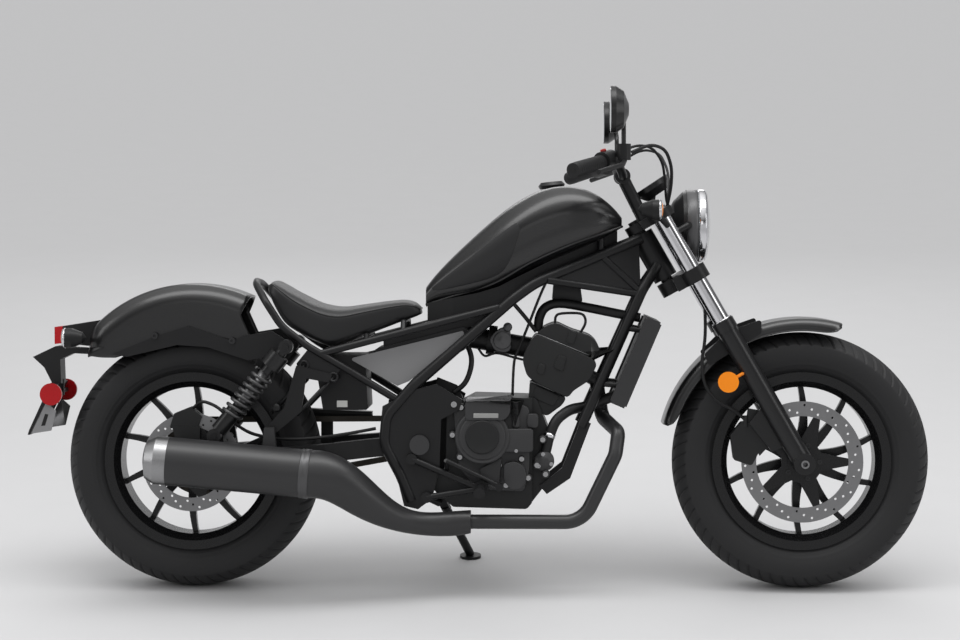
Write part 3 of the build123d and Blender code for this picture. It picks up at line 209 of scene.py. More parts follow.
def tread_cut(across, turned, half):
    """How deep the tread is cut at a place, from 0 to 1."""
    share = abs(across) / half
    groove = max(0.0, 1 - (abs(share - 0.16) / 0.03) ** 2)
    lane = (turned * SIPES / (2 * math.pi) + 1.3 * share + (0.5 if across > 0 else 0)) % 1.0
    slot = max(0.0, 1 - ((lane - 0.5) / 0.1) ** 4) if 0.3 < share < 0.98 else 0.0
    return min(1.0, max(groove, slot))


def tyre(name, centre, radius, width, seat_half, body, node):
    bead, half, shoulder = seat_half - BEAD_GAP, width / 2, radius - SHOULDER_DROP
    right_edge, left_edge = (shoulder, TREAD_EDGE - half), (shoulder, half - TREAD_EDGE)
    right = arc((FLANGE_TOP, -bead), ((RIM_SEAT + radius) / 2, 1 - half), right_edge, 22)
    crown = arc(right_edge, (radius, 0), left_edge, 46)
    left = [(r, -y) for r, y in reversed(right)]
    section = [(RIM_SEAT, -bead), *right, *crown[1:-1], *left, (RIM_SEAT, bead)]
    shape = bmesh.new()
    rings = []
    for step in range(AROUND):
        turned = 2 * math.pi * step / AROUND
        ring = []
        for r, y in section:
            if r > shoulder + 0.5:
                r -= TREAD_DEPTH * tread_cut(y, turned, half - TREAD_EDGE)
            elif RING_LOW < r < RING_HIGH and int(r / RING_PITCH) % 2:
                y += math.copysign(RING_PROUD, y)
            ring.append(shape.verts.new(around(centre, r, turned, y)))
        rings.append(ring)
    count = len(section)
    for a, b in zip(rings, rings[1:] + rings[:1]):
        for i in range(count):
            j = (i + 1) % count
            shape.faces.new((a[i], a[j], b[j], b[i]))
    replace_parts(stand_up(name, shape, body, tyre_rubber), node)


tyre("front_tyre_treaded", FRONT_AXLE, 314, 130, 45, "front_wheel", "front_tyre")
tyre("rear_tyre_treaded", REAR_AXLE, 312, 150, 53, "rear_wheel", "rear_tyre")

# ---- Cast wheels, discs and drive ----
# Ten-spoke aluminium castings in black enamel carry ground stainless discs and a hardened steel sprocket.
# The chain is oiled steel. Its guard and the frame's covers are moulded in black plastic.

# Stoved enamel: glossier than the frame, so the spokes' edges show as thin lines.
wheel_enamel = surface("black_wheel_enamel", "#0f0f10", "#131314", 0.26, 1.0, 0.04, Specular_IOR_Level=0.35)
dress(wheel_enamel, "front_rim", "rear_rim")
# Ground stainless: mid grey, with a fine grain that softens what it mirrors.
disc_steel = surface("ground_stainless_disc", "#7d7d7e", "#8b8b8c", 0.34, 0.5, 0.15, metallic=0.9)
dress(disc_steel, "front_disc", "rear_disc", "front_axle")
# Hardened steel: a grey with darker patches of scale.
sprocket_steel = surface("hardened_sprocket_steel", "#6f6f70", "#5f5f60", 0.4, 0.6, 0.15, metallic=1.0)
dress(sprocket_steel, "rear_sprocket", "front_sprocket")
# Oiled steel: the oil holds a brown film between the plates.
chain_oil = surface("oiled_chain_steel", "#4f4c48", "#3a3733", 0.42, 0.8, 0.25, metallic=1.0)
dress(chain_oil, "chain")
# Moulded plastic: matt black with a fine leathery grain.
moulded = surface("moulded_black_plastic", "#121213", "#161617", 0.46, 0.9, 0.25, Specular_IOR_Level=0.3)
dress(moulded, "chain_guard", "frame_covers", "under_seat_box", "tail_bracket", "throttle_body")


# ---- Fork ----
# The upper tubes are hard chromed steel, ground to a mirror; the sliders are aluminium in black enamel.
# A thin bright snap ring shows at each dust seal.
def lathe(outline, origin, axis, steps=64):
    """Turns a closed outline of (radius, height) points about an axis; points on the axis are merged."""
    axis = Vector(axis).normalized()
    ahead = axis.orthogonal().normalized()
    beside = axis.cross(ahead)
    shape = bmesh.new()
    rings = []
    for step in range(steps):
        t = 2 * math.pi * step / steps
        out = ahead * math.cos(t) + beside * math.sin(t)
        rings.append([shape.verts.new(Vector(origin) + out * r + axis * h) for r, h in outline])
    for a, b in zip(rings, rings[1:] + rings[:1]):
        for i in range(len(outline)):
            j = (i + 1) % len(outline)
            shape.faces.new((a[i], a[j], b[j], b[i]))
    bmesh.ops.remove_doubles(shape, verts=shape.verts, dist=0.001)
    bmesh.ops.dissolve_degenerate(shape, edges=shape.edges, dist=0.0001)
    return shape


RAKE = math.radians(30)
FORK_UP = Vector((-math.sin(RAKE), 0, math.cos(RAKE)))
FORK_AHEAD = Vector((math.cos(RAKE), 0, math.sin(RAKE)))
FORK_HALF = 105
SEAL_UP = 398.4
SNAP_RING = [(20.8, 0), (25.5, 0), (25.5, 3), (20.8, 3)]
# Hard chrome: a clear mirror that shows the room in long streaks.
chrome = surface("hard_chrome", "#d9d9db", "#cfcfd2", 0.1, 2.0, 0.02, metallic=1.0, uneven=0.03)
dress(chrome, "fork_tubes")
# Stoved enamel on aluminium: black, with a clean bright line along each round.
slider_enamel = surface("black_slider_enamel", "#121213", "#161617", 0.3, 0.8, 0.05, Specular_IOR_Level=0.4)
dress(slider_enamel, "fork_sliders", "shocks", "mirrors", "fuel_cap")
snap_rings = []
for across in (-FORK_HALF, FORK_HALF):
    seal = FRONT_AXLE + Vector((0, across, 0)) + FORK_UP * SEAL_UP
    snap_rings.append(lathe(SNAP_RING, seal, FORK_UP, 48))
stand_up("fork_snap_rings", snap_rings, "steering", chrome)

# ---- Headlamp, instrument and mirrors ----
# A pressed steel shell in satin black holds a chromed bezel and a moulded lens.
# The mirrors are silvered glass; the instrument is a dark display under clear plastic.

# Satin paint: black with a broad soft light on the shell's round.
lamp_paint = surface("satin_lamp_paint", "#161617", "#1a1a1b", 0.34, 0.6, 0.03, Specular_IOR_Level=0.35)
dress(lamp_paint, "headlamp_shell", "instrument")
# Moulded clear plastic over a silvered bowl: pale grey, wavy and very glossy.
lamp_glass = surface("moulded_lamp_glass", "#a9adb1", "#8f9397", 0.08, 6.0, 0.3, Coat_Weight=1.0)
dress(lamp_glass, "headlamp_lens")
LAMP = Vector((1206, 0, 890))
FORWARD = (1, 0, 0)
BEZEL = [
    (86.5, 31), (88.8, 31), (89.4, 36), (89.0, 46), (86, 50.5), (80, 53.5), (78, 52.5), (84, 49), (86.5, 45),
]
stand_up("headlamp_bezel", lathe(BEZEL, LAMP, FORWARD, 128), "steering", chrome)
SHELL_BAND = [(85.5, 2), (87.2, 3), (87.2, 29), (85.5, 30)]
# Grey lacquer with metal flake: a lighter band behind the bezel.
band_paint = surface("grey_lamp_band", "#4a4a4b", "#525253", 0.34, 0.6, 0.03, metallic=0.4)
stand_up("headlamp_band", lathe(SHELL_BAND, LAMP, FORWARD, 128), "steering", band_paint)
# Silvered glass: a clean mirror.
silvered = surface("silvered_mirror_glass", "#dfe3e6", "#d8dce0", 0.03, 8.0, 0.0, metallic=1.0, uneven=0.01)
GLASS = [(0, 0), (50, 0), (51, 0.8), (0, 0.8)]
glasses = [lathe(GLASS, (1014.3, y, 1158), FORWARD, 96) for y in (-330, 330)]
stand_up("mirror_glasses", glasses, "steering", silvered, smooth=False)
# Dark display under clear plastic: nearly black, with sharp reflections.
display = surface("dark_display", "#0b0d0f", "#101316", 0.1, 6.0, 0.02, Coat_Weight=1.0)
DIAL_WAY = Vector((-0.55, 0, 0.83))
DIAL = [(0, 0.2), (41, 0.2), (42, -0.6), (0, -0.6)]
dial = lathe(DIAL, FRONT_AXLE + FORK_AHEAD * 20 + FORK_UP * 770 + DIAL_WAY, DIAL_WAY, 72)
stand_up("instrument_display", dial, "steering", display, smooth=False)

# ---- Grips, hand controls, cables and hoses ----
# Ribbed rubber grips, glass-filled plastic switch housings, and rubber sheathed cables and hoses.
# The right housing carries a red stop switch, pressed into its top.

# Soft rubber: matt black, a little dusty.
rubber = surface("soft_black_rubber", "#141415", "#19191a", 0.58, 1.2, 0.2, Specular_IOR_Level=0.3)
dress(rubber, "grips", "front_brake_hose", "rear_brake_hose", "control_cables")
dress(moulded, "hand_controls")
BAR_TIP = Vector((930, -392, 1016))
BAR_OUT = (BAR_TIP - Vector((1012, -262, 1042))).normalized()
MIRRORED = Matrix.Scale(-1, 4, Vector((0, 1, 0)))
RIB_COUNT, FIRST_RIB, RIB_PITCH = 13, 12, 8.5
RIB = [(16.6, 0), (17.6, 1.2), (17.6, 3.2), (16.6, 4.4)]
END_BORE = [(0, 0), (7, 0), (7, 0.6), (0, 0.6)]


def both_ends(outline, inwards, steps):
    """The same turned piece on the right grip and on the left one."""
    pair = [lathe(outline, BAR_TIP - BAR_OUT * inwards, BAR_OUT, steps) for _ in range(2)]
    pair[1].transform(MIRRORED)
    return pair


ribs = [rib for index in range(RIB_COUNT) for rib in both_ends(RIB, FIRST_RIB + index * RIB_PITCH, 40)]
stand_up("grip_ribs", ribs, "steering", rubber)
# Painted shade for the inside of a hole: near black, because almost no light comes back.
painted_hole_shade = surface("shaded_bore", "#050505", "#0a0a0a", 0.8, 1.0, 0.1)
# Thin near-black discs at the grip ends are painted shade inside their bores.
stand_up("grip_end_bores", both_ends(END_BORE, -6, 32), "steering", painted_hole_shade, smooth=False)
# Moulded red plastic: a plain signal red with a slight gloss.
switch_red = surface("red_switch_plastic", "#a01a16", "#8f1512", 0.4, 1.0, 0.1)
SWITCH = [(0, 0), (7, 0), (7, 5), (5.5, 6.5), (0, 6.5)]
switch = lathe(SWITCH, (1000, -276, 1061.5), (-0.3, 0.05, 1), 32)
stand_up("stop_switch", switch, "steering", switch_red)

# ---- Signals, reflectors and tail lamp ----
# Moulded black bullets with amber lenses and a thin bright ring; red and amber reflectors.
# The lenses and reflectors are acrylic, moulded with prisms at the back.
dress(moulded, "front_signals", "rear_signals")
# Tinted acrylic: a deep clear colour with a soft gloss, broken up by the prisms.
tinted = {"roughness": 0.24, "grain_mm": 3.0, "grain": 0.35, "Specular_IOR_Level": 0.3, "Coat_Weight": 0.15}
red_acrylic = surface("red_acrylic", "#a40a12", "#94080f", **tinted)
dress(red_acrylic, "red_lenses")
amber_acrylic = surface("amber_acrylic", "#ef8a12", "#e27c0a", **tinted)
dress(amber_acrylic, "front_reflectors")
SIGNAL_RING = [(21.2, -0.6), (24.6, 3.6), (24.6, 6.6), (23.6, 6.6), (20.4, 0)]
SIGNAL_LENS = [(0, -4), (12, -3), (20.6, -0.4), (20.6, 0.6), (0, 0.6)]
SIGNALS = [
    # body, how far ahead, half width, height, way the lamp looks away from
    ("steering", 1141, 182, 927, (-1, 0, 0)),
    ("chassis", -305, 130, 617, (1, 0, 0)),
]
for body, x, half, z, away in SIGNALS:
    rims = [lathe(SIGNAL_RING, (x, y, z), away, 48) for y in (half, -half)]
    stand_up(body + "_signal_rings", rims, body, chrome)
    faces = [lathe(SIGNAL_LENS, (x, y, z), away, 48) for y in (half, -half)]
    stand_up(body + "_signal_lenses", faces, body, amber_acrylic)


# ---- Brake discs ----
# Stainless discs, laser cut with three rows of cooling holes and ground flat on both faces.
# Each is bolted to its hub by a dark enamelled carrier with five arms.
DISC_HALF = 2.5
ARMS, ARM_TURN, ARM_HALF, ARM_LAP = 5, 0.42, 8, 4
HOLES, HOLE_RADIUS = 15, 3
HOLE_ROWS = [
    # share of the ring's width, turned degrees
    (0.25, 0),
    (0.5, 8),
    (0.75, 16),
]
SIDEWAYS = (0, 1, 0)


def drilled_disc(name, centre, y, outer, inner, boss, hub, body, node):
    outline = [(inner, -DISC_HALF), (outer, -DISC_HALF), (outer, DISC_HALF), (inner, DISC_HALF)]
    ring = as_mesh(name, lathe(outline, (centre.x, y, centre.z), SIDEWAYS, 120))
    drills = []
    for share, turned in HOLE_ROWS:
        row = inner + share * (outer - inner)
        for index in range(HOLES):
            spot = around(centre, row, math.radians(turned + 360 * index / HOLES), y)
            drills.append(lathe([(0, -6), (HOLE_RADIUS, -6), (HOLE_RADIUS, 6), (0, 6)], spot, SIDEWAYS, 12))
    blank = bpy.data.objects.new(name + "_blank", ring)
    cutter = bpy.data.objects.new(name + "_drills", as_mesh(name + "_drills", drills))
    for item in (blank, cutter):
        bpy.context.scene.collection.objects.link(item)
    cut = blank.modifiers.new("holes", "BOOLEAN")
    cut.operation, cut.solver, cut.object = "DIFFERENCE", "EXACT", cutter
    plate = bpy.data.meshes.new_from_object(blank.evaluated_get(bpy.context.evaluated_depsgraph_get()))
    for item in (blank, cutter):
        bpy.data.objects.remove(item)
    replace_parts(stand_up(name, plate, body, disc_steel, smooth=False), node)
    reach = inner + ARM_LAP
    tip = ARM_HALF / reach
    arm = ((-ARM_TURN, boss), (-tip, reach), (tip, reach), (ARM_TURN, boss))
    edge = [(r, t + 2 * math.pi / ARMS * index) for index in range(ARMS) for t, r in arm]
    bore = [(hub + 0.5, 2 * math.pi * i / len(edge) - ARM_TURN) for i in range(len(edge))]
    carrier = bmesh.new()
    faces = []
    for lift in (0.4 - DISC_HALF, DISC_HALF - 0.4):
        for row in (edge, bore):
            faces.append([carrier.verts.new(around(centre, r, t, y + lift)) for r, t in row])
    out_a, in_a, out_b, in_b = faces
    for i in range(len(edge)):
        j = (i + 1) % len(edge)
        carrier.faces.new((out_a[i], out_a[j], in_a[j], in_a[i]))
        carrier.faces.new((out_b[i], in_b[i], in_b[j], out_b[j]))
        carrier.faces.new((out_a[i], out_b[i], out_b[j], out_a[j]))
        carrier.faces.new((in_a[i], in_a[j], in_b[j], in_b[i]))
    stand_up(name + "_carrier", carrier, body, wheel_enamel, smooth=False)


drilled_disc("front_disc_drilled", FRONT_AXLE, -66, 148, 112, 52, 32, "front_wheel", "front_disc")
drilled_disc("rear_disc_drilled", REAR_AXLE, -88, 120, 87, 62, 42, "rear_wheel", "rear_disc")


# ---- Fenders ----
# Each is one deep-drawn steel sheet with a soft rounded shoulder, painted satin black like the tank.
# The lower edge is cut level on the side plates that carry it.
def hollow_sheet(outer, inner):
    """A closed shell between an outer and an inner grid of points."""
    shape = bmesh.new()
    skins = [[[shape.verts.new(p) for p in row] for row in grid] for grid in (outer, inner)]
    rows, columns = len(outer), len(outer[0])
    for skin in skins:
        for i in range(rows - 1):
            for j in range(columns - 1):
                shape.faces.new((skin[i][j], skin[i + 1][j], skin[i + 1][j + 1], skin[i][j + 1]))
    a, b = skins
    for i in range(rows - 1):
        for j in (0, columns - 1):
            shape.faces.new((a[i][j], a[i + 1][j], b[i + 1][j], b[i][j]))
    for j in range(columns - 1):
        for i in (0, rows - 1):
            shape.faces.new((a[i][j], a[i][j + 1], b[i][j + 1], b[i][j]))
    return shape


def shoulders(half, round_off, steps=10):
    """A fender's section, right to left: (sideways, share of the side's height, drop from the top)."""
    points = [(-half, i / 4, None) for i in range(4)]
    for i in range(steps + 1):
        t = math.pi / 2 * i / steps
        points.append((-half + round_off * (1 - math.cos(t)), 1.0, round_off * (1 - math.sin(t))))
    crown = half - round_off
    points += [(crown * share, 1.0, 0.0) for share in (-0.66, -0.33)]
    return points + [(0.0, 1.0, 0.0)] + [(-y, share, drop) for y, share, drop in reversed(points)]


def polar(centre, radius, degrees):
    turned = math.radians(degrees)
    return Vector((centre[0] + radius * math.cos(turned), centre[1] + radius * math.sin(turned)))


SHEET = 3
REAR_CENTRE, REAR_ARCH, REAR_HALF, REAR_ROUND = (0, 411), 336, 92, 46
TAIL_ARCH = 84
TAIL_CENTRE = polar(REAR_CENTRE, REAR_ARCH - TAIL_ARCH, 133)
FENDER_NOSE, FENDER_TAIL, FENDER_END = 65, 133, 199
SKIRT = [Vector(p) for p in ((160, 590), (41, 594), (-32, 599), (-155, 576), (-184, 567), (-251, 568))]


def rear_section(share, inset):
    """The rear fender's section at a share of its way from the nose over the top to the tail."""
    arch_share = (FENDER_TAIL - FENDER_NOSE) / (FENDER_END - FENDER_NOSE)
    if share < arch_share:
        turned = FENDER_NOSE + (FENDER_TAIL - FENDER_NOSE) * share / arch_share
        top = polar(REAR_CENTRE, REAR_ARCH - inset, turned)
        inward = Vector(REAR_CENTRE) - top
    else:
        turned = FENDER_TAIL + (FENDER_END - FENDER_TAIL) * (share - arch_share) / (1 - arch_share)
        top = polar(TAIL_CENTRE, TAIL_ARCH - inset, turned)
        inward = TAIL_CENTRE - top
    inward.normalize()
    place = share * (len(SKIRT) - 1) * 0.999
    low = SKIRT[int(place)].lerp(SKIRT[int(place) + 1], place - int(place))
    if share > 0.9:
        low = low.lerp(top, 0.999 * min(1, (share - 0.9) / 0.1) ** 2)
    deep = min(REAR_ROUND, (low - top).length * 0.9)
    start = top + inward * deep
    row = []
    for y, up, drop in shoulders(REAR_HALF - inset, deep):
        where = low.lerp(start, up) if drop is None else top + inward * drop
        row.append((where.x, y, where.y))
    return row


FRONT_ARCH, FRONT_HALF, FRONT_ROUND, FRONT_SKIRT = 352, 76, 22, 30
FRONT_START, FRONT_SWEEP, END_ROUND = 74, 91, 9


def front_section(share, inset):
    """The front fender's section at a share of its way from the nose to the lower end."""
    end = min(min(share, 1 - share) * FRONT_SWEEP / END_ROUND, 1.0)
    skirt = FRONT_SKIRT * min(1.0, 0.35 + 0.65 * math.sqrt(end * (2 - end)))
    row = []
    for y, up, drop in shoulders(FRONT_HALF - inset, FRONT_ROUND):
        radius = FRONT_ARCH - drop if drop is not None else FRONT_ARCH - skirt + (skirt - FRONT_ROUND) * up
        radius = max(radius - 3 * (abs(y) / FRONT_HALF) ** 2, FRONT_ARCH - skirt) - inset
        x, z = polar((FRONT_AXLE.x, FRONT_AXLE.z), radius, FRONT_START + FRONT_SWEEP * share)
        row.append((x, y, z))
    return row


# Satin lacquer: deep black, with a soft-edged light along the shoulder.
coat = {"Coat_Weight": 0.25, "Coat_Roughness": 0.16}
satin_black = surface("satin_black_paint", "#0a0a0b", "#0d0d0e", 0.3, 0.7, 0.03, **coat)
dress(satin_black, "fuel_tank")
for name, section, steps, body, node in (
    ("rear_fender_sheet", rear_section, 72, "chassis", "rear_fender"),
    ("front_fender_sheet", front_section, 64, "steering", "front_fender"),
):
    outer, inner = ([section(i / steps, inset) for i in range(steps + 1)] for inset in (0, SHEET))
    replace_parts(stand_up(name, hollow_sheet(outer, inner), body, satin_black), node)


# ---- Engine ----
# The case, cylinder and head are aluminium castings in satin black; the right cover is a die casting.
# It carries the clutch and filter covers, a sloped light grey strip along its top edge that paints the edge's
# highlight as a machined rail, and a blank plate.
def slab(outline, out, inner, edge=1.5, side=-1):
    """A casting's flat boss: an outline in the side view, between two distances from the middle."""
    shape = bmesh.new()
    low = [shape.verts.new((x, side * inner, z)) for x, z in outline]
    high = [shape.verts.new((x, side * out, z)) for x, z in outline]
    shape.faces.new(low)
    shape.faces.new(list(reversed(high)))
    for i in range(len(outline)):
        j = (i + 1) % len(outline)
        shape.faces.new((low[j], low[i], high[i], high[j]))
    bmesh.ops.recalc_face_normals(shape, faces=shape.faces)
    corners = [e for e in shape.edges if len({round(v.co.y, 3) for v in e.verts}) == 2]
    bmesh.ops.bevel(shape, geom=corners, offset=4 * edge, segments=4, profile=0.5, affect="EDGES")
    rim = [e for e in shape.edges if all(abs(v.co.y - side * out) < 0.01 for v in e.verts)]
    bmesh.ops.bevel(shape, geom=rim, offset=edge, segments=3, profile=0.5, affect="EDGES")
    return shape


def drum(centre, outline, inner, side=-1):
    """A round boss: (radius, distance from the middle) points from its foot to its centre."""
    rise = [(r, out - inner) for r, out in outline]
    closed = [(0, 0), (rise[0][0], 0), *rise, (0, rise[-1][1])]
    return lathe(closed, (centre[0], side * inner, centre[1]), (0, side, 0), 72)


# Painted sand casting: black and a little rough, so light spreads over it.
engine_paint = surface("black_cast_aluminium", "#131314", "#191a1a", 0.42, 1.6, 0.4, Specular_IOR_Level=0.35)
dress(engine_paint, "crankcase", "cylinder", "front_caliper", "rear_caliper")
# Painted die casting: smoother and a shade greyer than the case.
cover_paint = surface("dark_die_casting", "#29292a", "#303031", 0.38, 1.4, 0.35, Specular_IOR_Level=0.4)
# Bare alloy: light grey with a satin metal shine.
light_alloy = surface("light_grey_alloy", "#8a8a8b", "#979798", 0.36, 1.0, 0.2, metallic=0.8)
# Anodised sheet: pale and even.
anodised = surface("blank_anodised_plate", "#a8a8a6", "#9c9c9a", 0.34, 1.0, 0.1, metallic=0.8)
CASE_FACE = 96.4
COVER_FACE = 110
CLUTCH = (712, 379)
PUMP = (862, 318)
MAIN_COVER = [(640, 452), (655, 300), (700, 250), (812, 244), (826, 300), (826, 448), (800, 458)]
FILTER_COVER = [(765, 314), (791, 320), (813, 309), (820, 282), (809, 255), (784, 250), (764, 271)]
CLUTCH_RIM = [(66, 137), (65, 141), (60, 142), (58, 139.5), (56, 139.5), (54, 142), (52, 142.5)]
case_cover = [
    slab(MAIN_COVER, 112, CASE_FACE, 2.5),
    slab([(671, 420), (671, 466), (780, 466), (780, 437), (766, 420)], 146, COVER_FACE, 2.0),
    slab([(785, 466), (800, 466), (803, 400), (785, 400)], 128, COVER_FACE, 2.0),
    slab([(820, 434), (847, 434), (847, 400), (820, 400)], 120, CASE_FACE, 2.0),
    slab([(762, 343), (762, 399), (835, 399), (835, 343)], 138, COVER_FACE, 2.0),
    slab([(704, 300), (720, 256), (752, 252), (760, 330)], 122, COVER_FACE, 2.0),
    slab(FILTER_COVER, 134, COVER_FACE, 1.6),
    drum(CLUTCH, CLUTCH_RIM, CASE_FACE),
    drum(PUMP, [(24, 109), (22.5, 111), (15, 112), (13, 115), (4, 116)], 76.4),
]
SCREW_LUGS = [
    (660, 449), (639, 382), (657, 328), (753, 309), (807, 324),
    (844, 309), (823, 278), (865, 287), (858, 371), (769, 260),
]
case_cover += [drum(place, [(9.5, 111), (8, 113.5), (3, 113.5)], 78) for place in SCREW_LUGS]
covers = stand_up("right_engine_cover", case_cover, "chassis", cover_paint)
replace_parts(covers, "engine_covers")
clutch_pad = drum(CLUTCH, [(41, 145.5), (40, 147.5), (38, 148), (34, 146.4), (12, 146.6)], 140)
stand_up("clutch_pad", clutch_pad, "chassis", engine_paint)
GENERATOR = (745, 352)
left_cover = drum(GENERATOR, [(68, 124), (65, 128), (56, 129), (55, 134), (52, 136), (10, 137)], CASE_FACE, 1)
stand_up("left_engine_cover", left_cover, "chassis", cover_paint)
# A light grey alloy strip along the cover's top edge: a painted highlight, drawn as a machined rail.
painted_edge_highlight = slab([(671, 466), (676, 475), (783, 475), (781, 466)], 150, 112, 1.2)
stand_up("cover_top_edge_highlight", painted_edge_highlight, "chassis", light_alloy)
plate = slab([(691, 426), (691, 437), (751, 437), (751, 426)], 147, 145.5, 0.3)
stand_up("blank_plate", plate, "chassis", anodised)


# ---- Cylinder and head ----
# A short water-cooled barrel under a wide four-valve head and its bolted cover, cast and painted black.
# The joint faces are machined, so a thin bright line shows between the castings.
def tube_along(points, radius, sides=10, loop=False):
    """A round bar along a path of close points."""
    shape = bmesh.new()
    rings = []
    count = len(points)
    beside = None
    for i, point in enumerate(points):
        ahead = Vector(points[(i + 1) % count if loop else min(i + 1, count - 1)])
        behind = Vector(points[i - 1 if loop else max(i - 1, 0)])
        way = (ahead - behind).normalized()
        if loop or beside is None:
            beside = way.cross(Vector((0, 0, 1)) if abs(way.z) < 0.92 else Vector((1, 0, 0)))
        beside = (beside - way * beside.dot(way)).normalized()
        over = beside.cross(way)
        ring = []
        for k in range(sides):
            t = 2 * math.pi * k / sides
            out = beside * math.cos(t) + over * math.sin(t)
            ring.append(shape.verts.new(Vector(point) + out * radius))
        rings.append(ring)
    for a, b in zip(rings, rings[1:] + (rings[:1] if loop else [])):
        for k in range(sides):
            n = (k + 1) % sides
            shape.faces.new((a[k], a[n], b[n], b[k]))
    if not loop:
        shape.faces.new(rings[0])
        shape.faces.new(rings[-1])
    return shape


HEAD_COVER = [
    (841, 628), (865, 645), (890, 654), (927, 636), (973, 622),
    (991, 605), (1000, 574), (988, 568), (969, 574),
]
HEAD = [
    (841, 626), (969, 572), (991, 555), (973, 514), (931, 487),
    (920, 470), (841, 507), (819, 524), (808, 563), (819, 595),
]
BARREL = [(826, 509), (916, 470), (906, 452), (868, 424), (822, 450)]
HEAD_CASTINGS = [
    # outline, outer and inner distance from the middle, rounding of the edges
    (HEAD_COVER, 80, 0, 2.5),
    (HEAD, 84, 0, 2.5),
    (BARREL, 66, 0, 2.0),
    ([(896, 576), (916, 570), (907, 534), (883, 545)], 88, 80, 1.5),
    ([(850, 556), (866, 549), (859, 526), (842, 532)], 88, 80, 1.5),
    ([(925, 636), (942, 628), (932, 600), (914, 607)], 84, 76, 1.2),
    ([(842, 500), (900, 474), (884, 448), (832, 470)], 69, 60, 1.5),
]
JOINT_WIDE = 1.1
JOINT_LINES = [
    # rear end, front end, distance from the middle
    ((840, 628.2), (971, 574.2), 81),
    ((826, 511), (918, 472), 68.4),
]
castings = [slab(*casting, side) for side in (-1, 1) for casting in HEAD_CASTINGS]
cylinder = stand_up("cylinder_castings", castings, "chassis", engine_paint)
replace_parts(cylinder, "cylinder")
joints = []
for a, b, out in JOINT_LINES:
    for side in (-1, 1):
        joints.append(tube_along([(a[0], side * out, a[1]), (b[0], side * out, b[1])], JOINT_WIDE, 6))
stand_up("machined_joint_lines", joints, "chassis", light_alloy)
# Bare cast alloy, dulled by heat: a mid grey between the case and the bright parts.
throttle_alloy = surface("cast_throttle_alloy", "#4a4a4b", "#565657", 0.42, 1.2, 0.3, metallic=0.7)
linkage = [
    slab([(726, 611), (740, 630), (760, 642), (778, 638), (781, 587), (766, 578), (740, 584)], 52, 20, 2.0),
    drum((759, 609), [(22, 58), (20, 61), (16, 60), (14, 61.5), (8, 60.5), (6, 63)], 50),
    drum((772, 641), [(11, 52), (9, 55), (3, 56)], 30),
]
stand_up("throttle_linkage", linkage, "chassis", throttle_alloy)


# ---- Radiator and hoses ----
# An aluminium core of flat tubes with folded fins between plastic end tanks, in black.
# Moulded rubber hoses run to the engine, one with a bright clamp; the coil hangs under the brace.
def smooth_run(points, steps):
    """A Catmull-Rom run through points of any length."""
    ends = [points[0]] + list(points) + [points[-1]]
    run = []
    for corners in zip(ends, ends[1:], ends[2:], ends[3:]):
        for i in range(steps):
            t = i / steps
            place = []
            for p, q, r, s in zip(*corners):
                square, cube = 2 * p - 5 * q + 4 * r - s, 3 * q - p - 3 * r + s
                place.append(0.5 * (2 * q + (r - p) * t + square * t * t + cube * t**3))
            run.append(tuple(place))
    return run + [tuple(points[-1])]


def new_tree(name, sockets):
    """A geometry tree with its named inputs, and the node that gives them."""
    tree = bpy.data.node_groups.new(name, "GeometryNodeTree")
    for title, kind, value in [("Geometry", "Geometry", None), *sockets]:
        socket = tree.interface.new_socket(title, in_out="INPUT", socket_type="NodeSocket" + kind)
        if value is not None:
            socket.default_value = value
    tree.interface.new_socket("Geometry", in_out="OUTPUT", socket_type="NodeSocketGeometry")
    return tree, add(tree, "NodeGroupInput").outputs


def finish_tree(tree, instances, finish):
    """Ends a tree in real geometry with its material."""
    real = add(tree, "GeometryNodeRealizeInstances", [("Geometry", instances)])
    skin = add(tree, "GeometryNodeSetMaterial", [("Geometry", real.outputs[0]), ("Material", finish)])
    add(tree, "NodeGroupOutput", [("Geometry", skin.outputs[0])])


def grown(tree, mesh, **sizes):
    """Runs a geometry tree on a mesh, with the named inputs given, and gives back the plain mesh."""
    seedling = bpy.data.objects.new("seedling", mesh)
    bpy.context.scene.collection.objects.link(seedling)
    maker = seedling.modifiers.new("maker", "NODES")
    maker.node_group = tree
    for socket in tree.interface.items_tree:
        if socket.in_out == "INPUT" and socket.name in sizes:
            maker[socket.identifier] = sizes[socket.name]
    result = bpy.data.meshes.new_from_object(seedling.evaluated_get(bpy.context.evaluated_depsgraph_get()))
    seedling.modifiers.remove(maker)
    bpy.data.objects.remove(seedling)
    return result


# Thin black paint on aluminium: a dark grey, because the fins catch the light.
core_metal = surface("radiator_black", "#29292a", "#303031", 0.5, 1.0, 0.2, Specular_IOR_Level=0.3)
dress(core_metal, "radiator")
FIN_PITCH = 7.0
FIN_COUNT = 29
CORE_FACE = 17.6
fin_tree, given = new_tree(
    "radiator_fins",
    [
        ("Count", "Int", FIN_COUNT),
        ("Pitch", "Float", FIN_PITCH),
        ("Fin", "Vector", (2.0, 184.0, 1.6)),
        ("Finish", "Material", core_metal),
    ],
)
step = add(fin_tree, "ShaderNodeCombineXYZ", [("Z", given["Pitch"])])
line = add(fin_tree, "GeometryNodeMeshLine", [("Count", given["Count"]), ("Offset", step.outputs[0])])
fin = add(fin_tree, "GeometryNodeMeshCube", [("Size", given["Fin"])])
row = [("Points", line.outputs[0]), ("Instance", fin.outputs[0])]
finish_tree(fin_tree, add(fin_tree, "GeometryNodeInstanceOnPoints", row).outputs[0], given["Finish"])
fins = grown(fin_tree, bpy.data.meshes.new("radiator_fins"), Count=FIN_COUNT, Pitch=FIN_PITCH)
lie = Matrix.Translation((1083, 0, 558)) @ Matrix.Rotation(math.radians(23), 4, "Y")
fins.transform(lie @ Matrix.Translation((CORE_FACE, 0, -FIN_PITCH * (FIN_COUNT - 1) / 2)))
